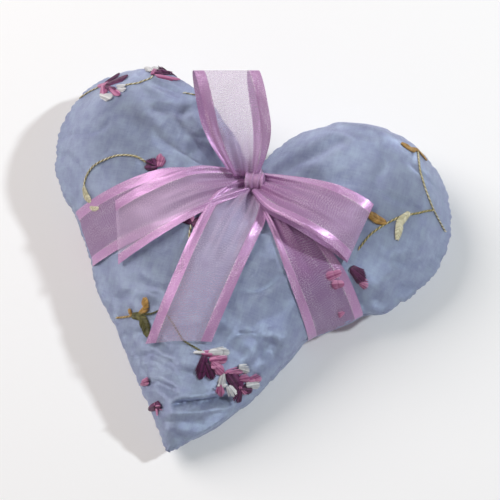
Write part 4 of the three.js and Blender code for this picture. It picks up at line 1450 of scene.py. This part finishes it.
# %% Knot and strap
def tube_piece(name, path, radius_at, sides, material):
    path = np.asarray(path, float)
    ahead = np.gradient(path, axis=0)
    ahead /= np.linalg.norm(ahead, axis=1)[:, None]
    upright = np.array([0.0, 0.0, 1.0])
    first = np.cross(ahead, upright)
    first[np.linalg.norm(first, axis=1) < 1e-3] = (1.0, 0.0, 0.0)
    first /= np.linalg.norm(first, axis=1)[:, None]
    second = np.cross(first, ahead)
    turns = np.linspace(0.0, 2 * math.pi, sides, endpoint=False)
    points, faces = [], []
    for k in range(len(path)):
        radius = radius_at(k / (len(path) - 1), turns)
        aside = path[k] + np.outer(radius * np.cos(turns), first[k])
        points.append(aside + np.outer(radius * np.sin(turns), second[k]))
    for k in range(len(path) - 1):
        for j in range(sides):
            n = (j + 1) % sides
            faces.append((k * sides + j, k * sides + n, (k + 1) * sides + n, (k + 1) * sides + j))
    faces.append(tuple(range(sides))[::-1])
    faces.append(tuple(range((len(path) - 1) * sides, len(path) * sides)))
    made = place_object(name, np.vstack(points), faces)
    map_strip(made, sides, lambda row, place: (row / (len(path) - 1), 3.0 * place / sides))
    made.data.materials.append(material)
    return made


knot_half, knot_thick, knot_bearing = 3.7, 3.6, math.radians(12.0)
knot_shift = np.array([0.7, -0.7, 0.2])


def knot_radius_at(share, turns):
    """A cuff: a little wider at its two rims, and closed in sharply past them."""
    aside = abs(2.0 * share - 1.0)
    cuff = 1.0 + 0.06 * rise(0.45, 0.80, aside) - 0.52 * rise(0.84, 1.0, aside)
    wrapped = share + 0.13 * np.sin(turns + 0.6)
    folds_round = 0.20 * np.cos(2 * math.pi * 3.4 * wrapped + 2.4)
    folds_round = folds_round + 0.12 * np.cos(2 * math.pi * 6.1 * wrapped)
    flattened = 1.0 - 0.12 * np.cos(2 * turns)
    return (knot_thick * flattened + folds_round) * cuff


knot_axis = np.array([math.cos(knot_bearing), math.sin(knot_bearing), 0.12])
knot_axis /= np.linalg.norm(knot_axis)
knot_path = [knot + knot_shift + knot_axis * s for s in np.linspace(-knot_half, knot_half, 44)]
ribbon_knot = tube_piece("ribbon_knot", knot_path, knot_radius_at, 40, knotted_look)
settle(ribbon_knot, "pouch", "knotted_ribbon", "bow_knot")

strap_points = [
    (2.6, 52.5, 33.5), (2.4, 55.0, 30.5), (1.4, 57.5, 26.0), (0.6, 59.5, 19.5),
    (0.2, 59.2, 12.0), (0.4, 57.0, 6.5), (1.2, 54.0, 4.2), (2.0, 50.5, 3.6),
]
strap_path = rounded_line(np.array(strap_points), 60, 8)
strap_radius, strap_pleat, strap_flat = 1.35, 0.14, 0.35


def strap_radius_at(share, turns):
    pleated = 1.0 + strap_pleat * np.cos(5 * turns + 2 * share)
    return strap_radius * pleated * (1.0 - strap_flat * np.cos(2 * turns) * 0.5)


strap = tube_piece("ribbon_cleft_strap", strap_path, strap_radius_at, 30, knotted_look)
settle(strap, "pouch", "knotted_ribbon", "cleft_strap")
print("knot", len(ribbon_knot.data.polygons), "faces, strap", len(strap.data.polygons), "faces")
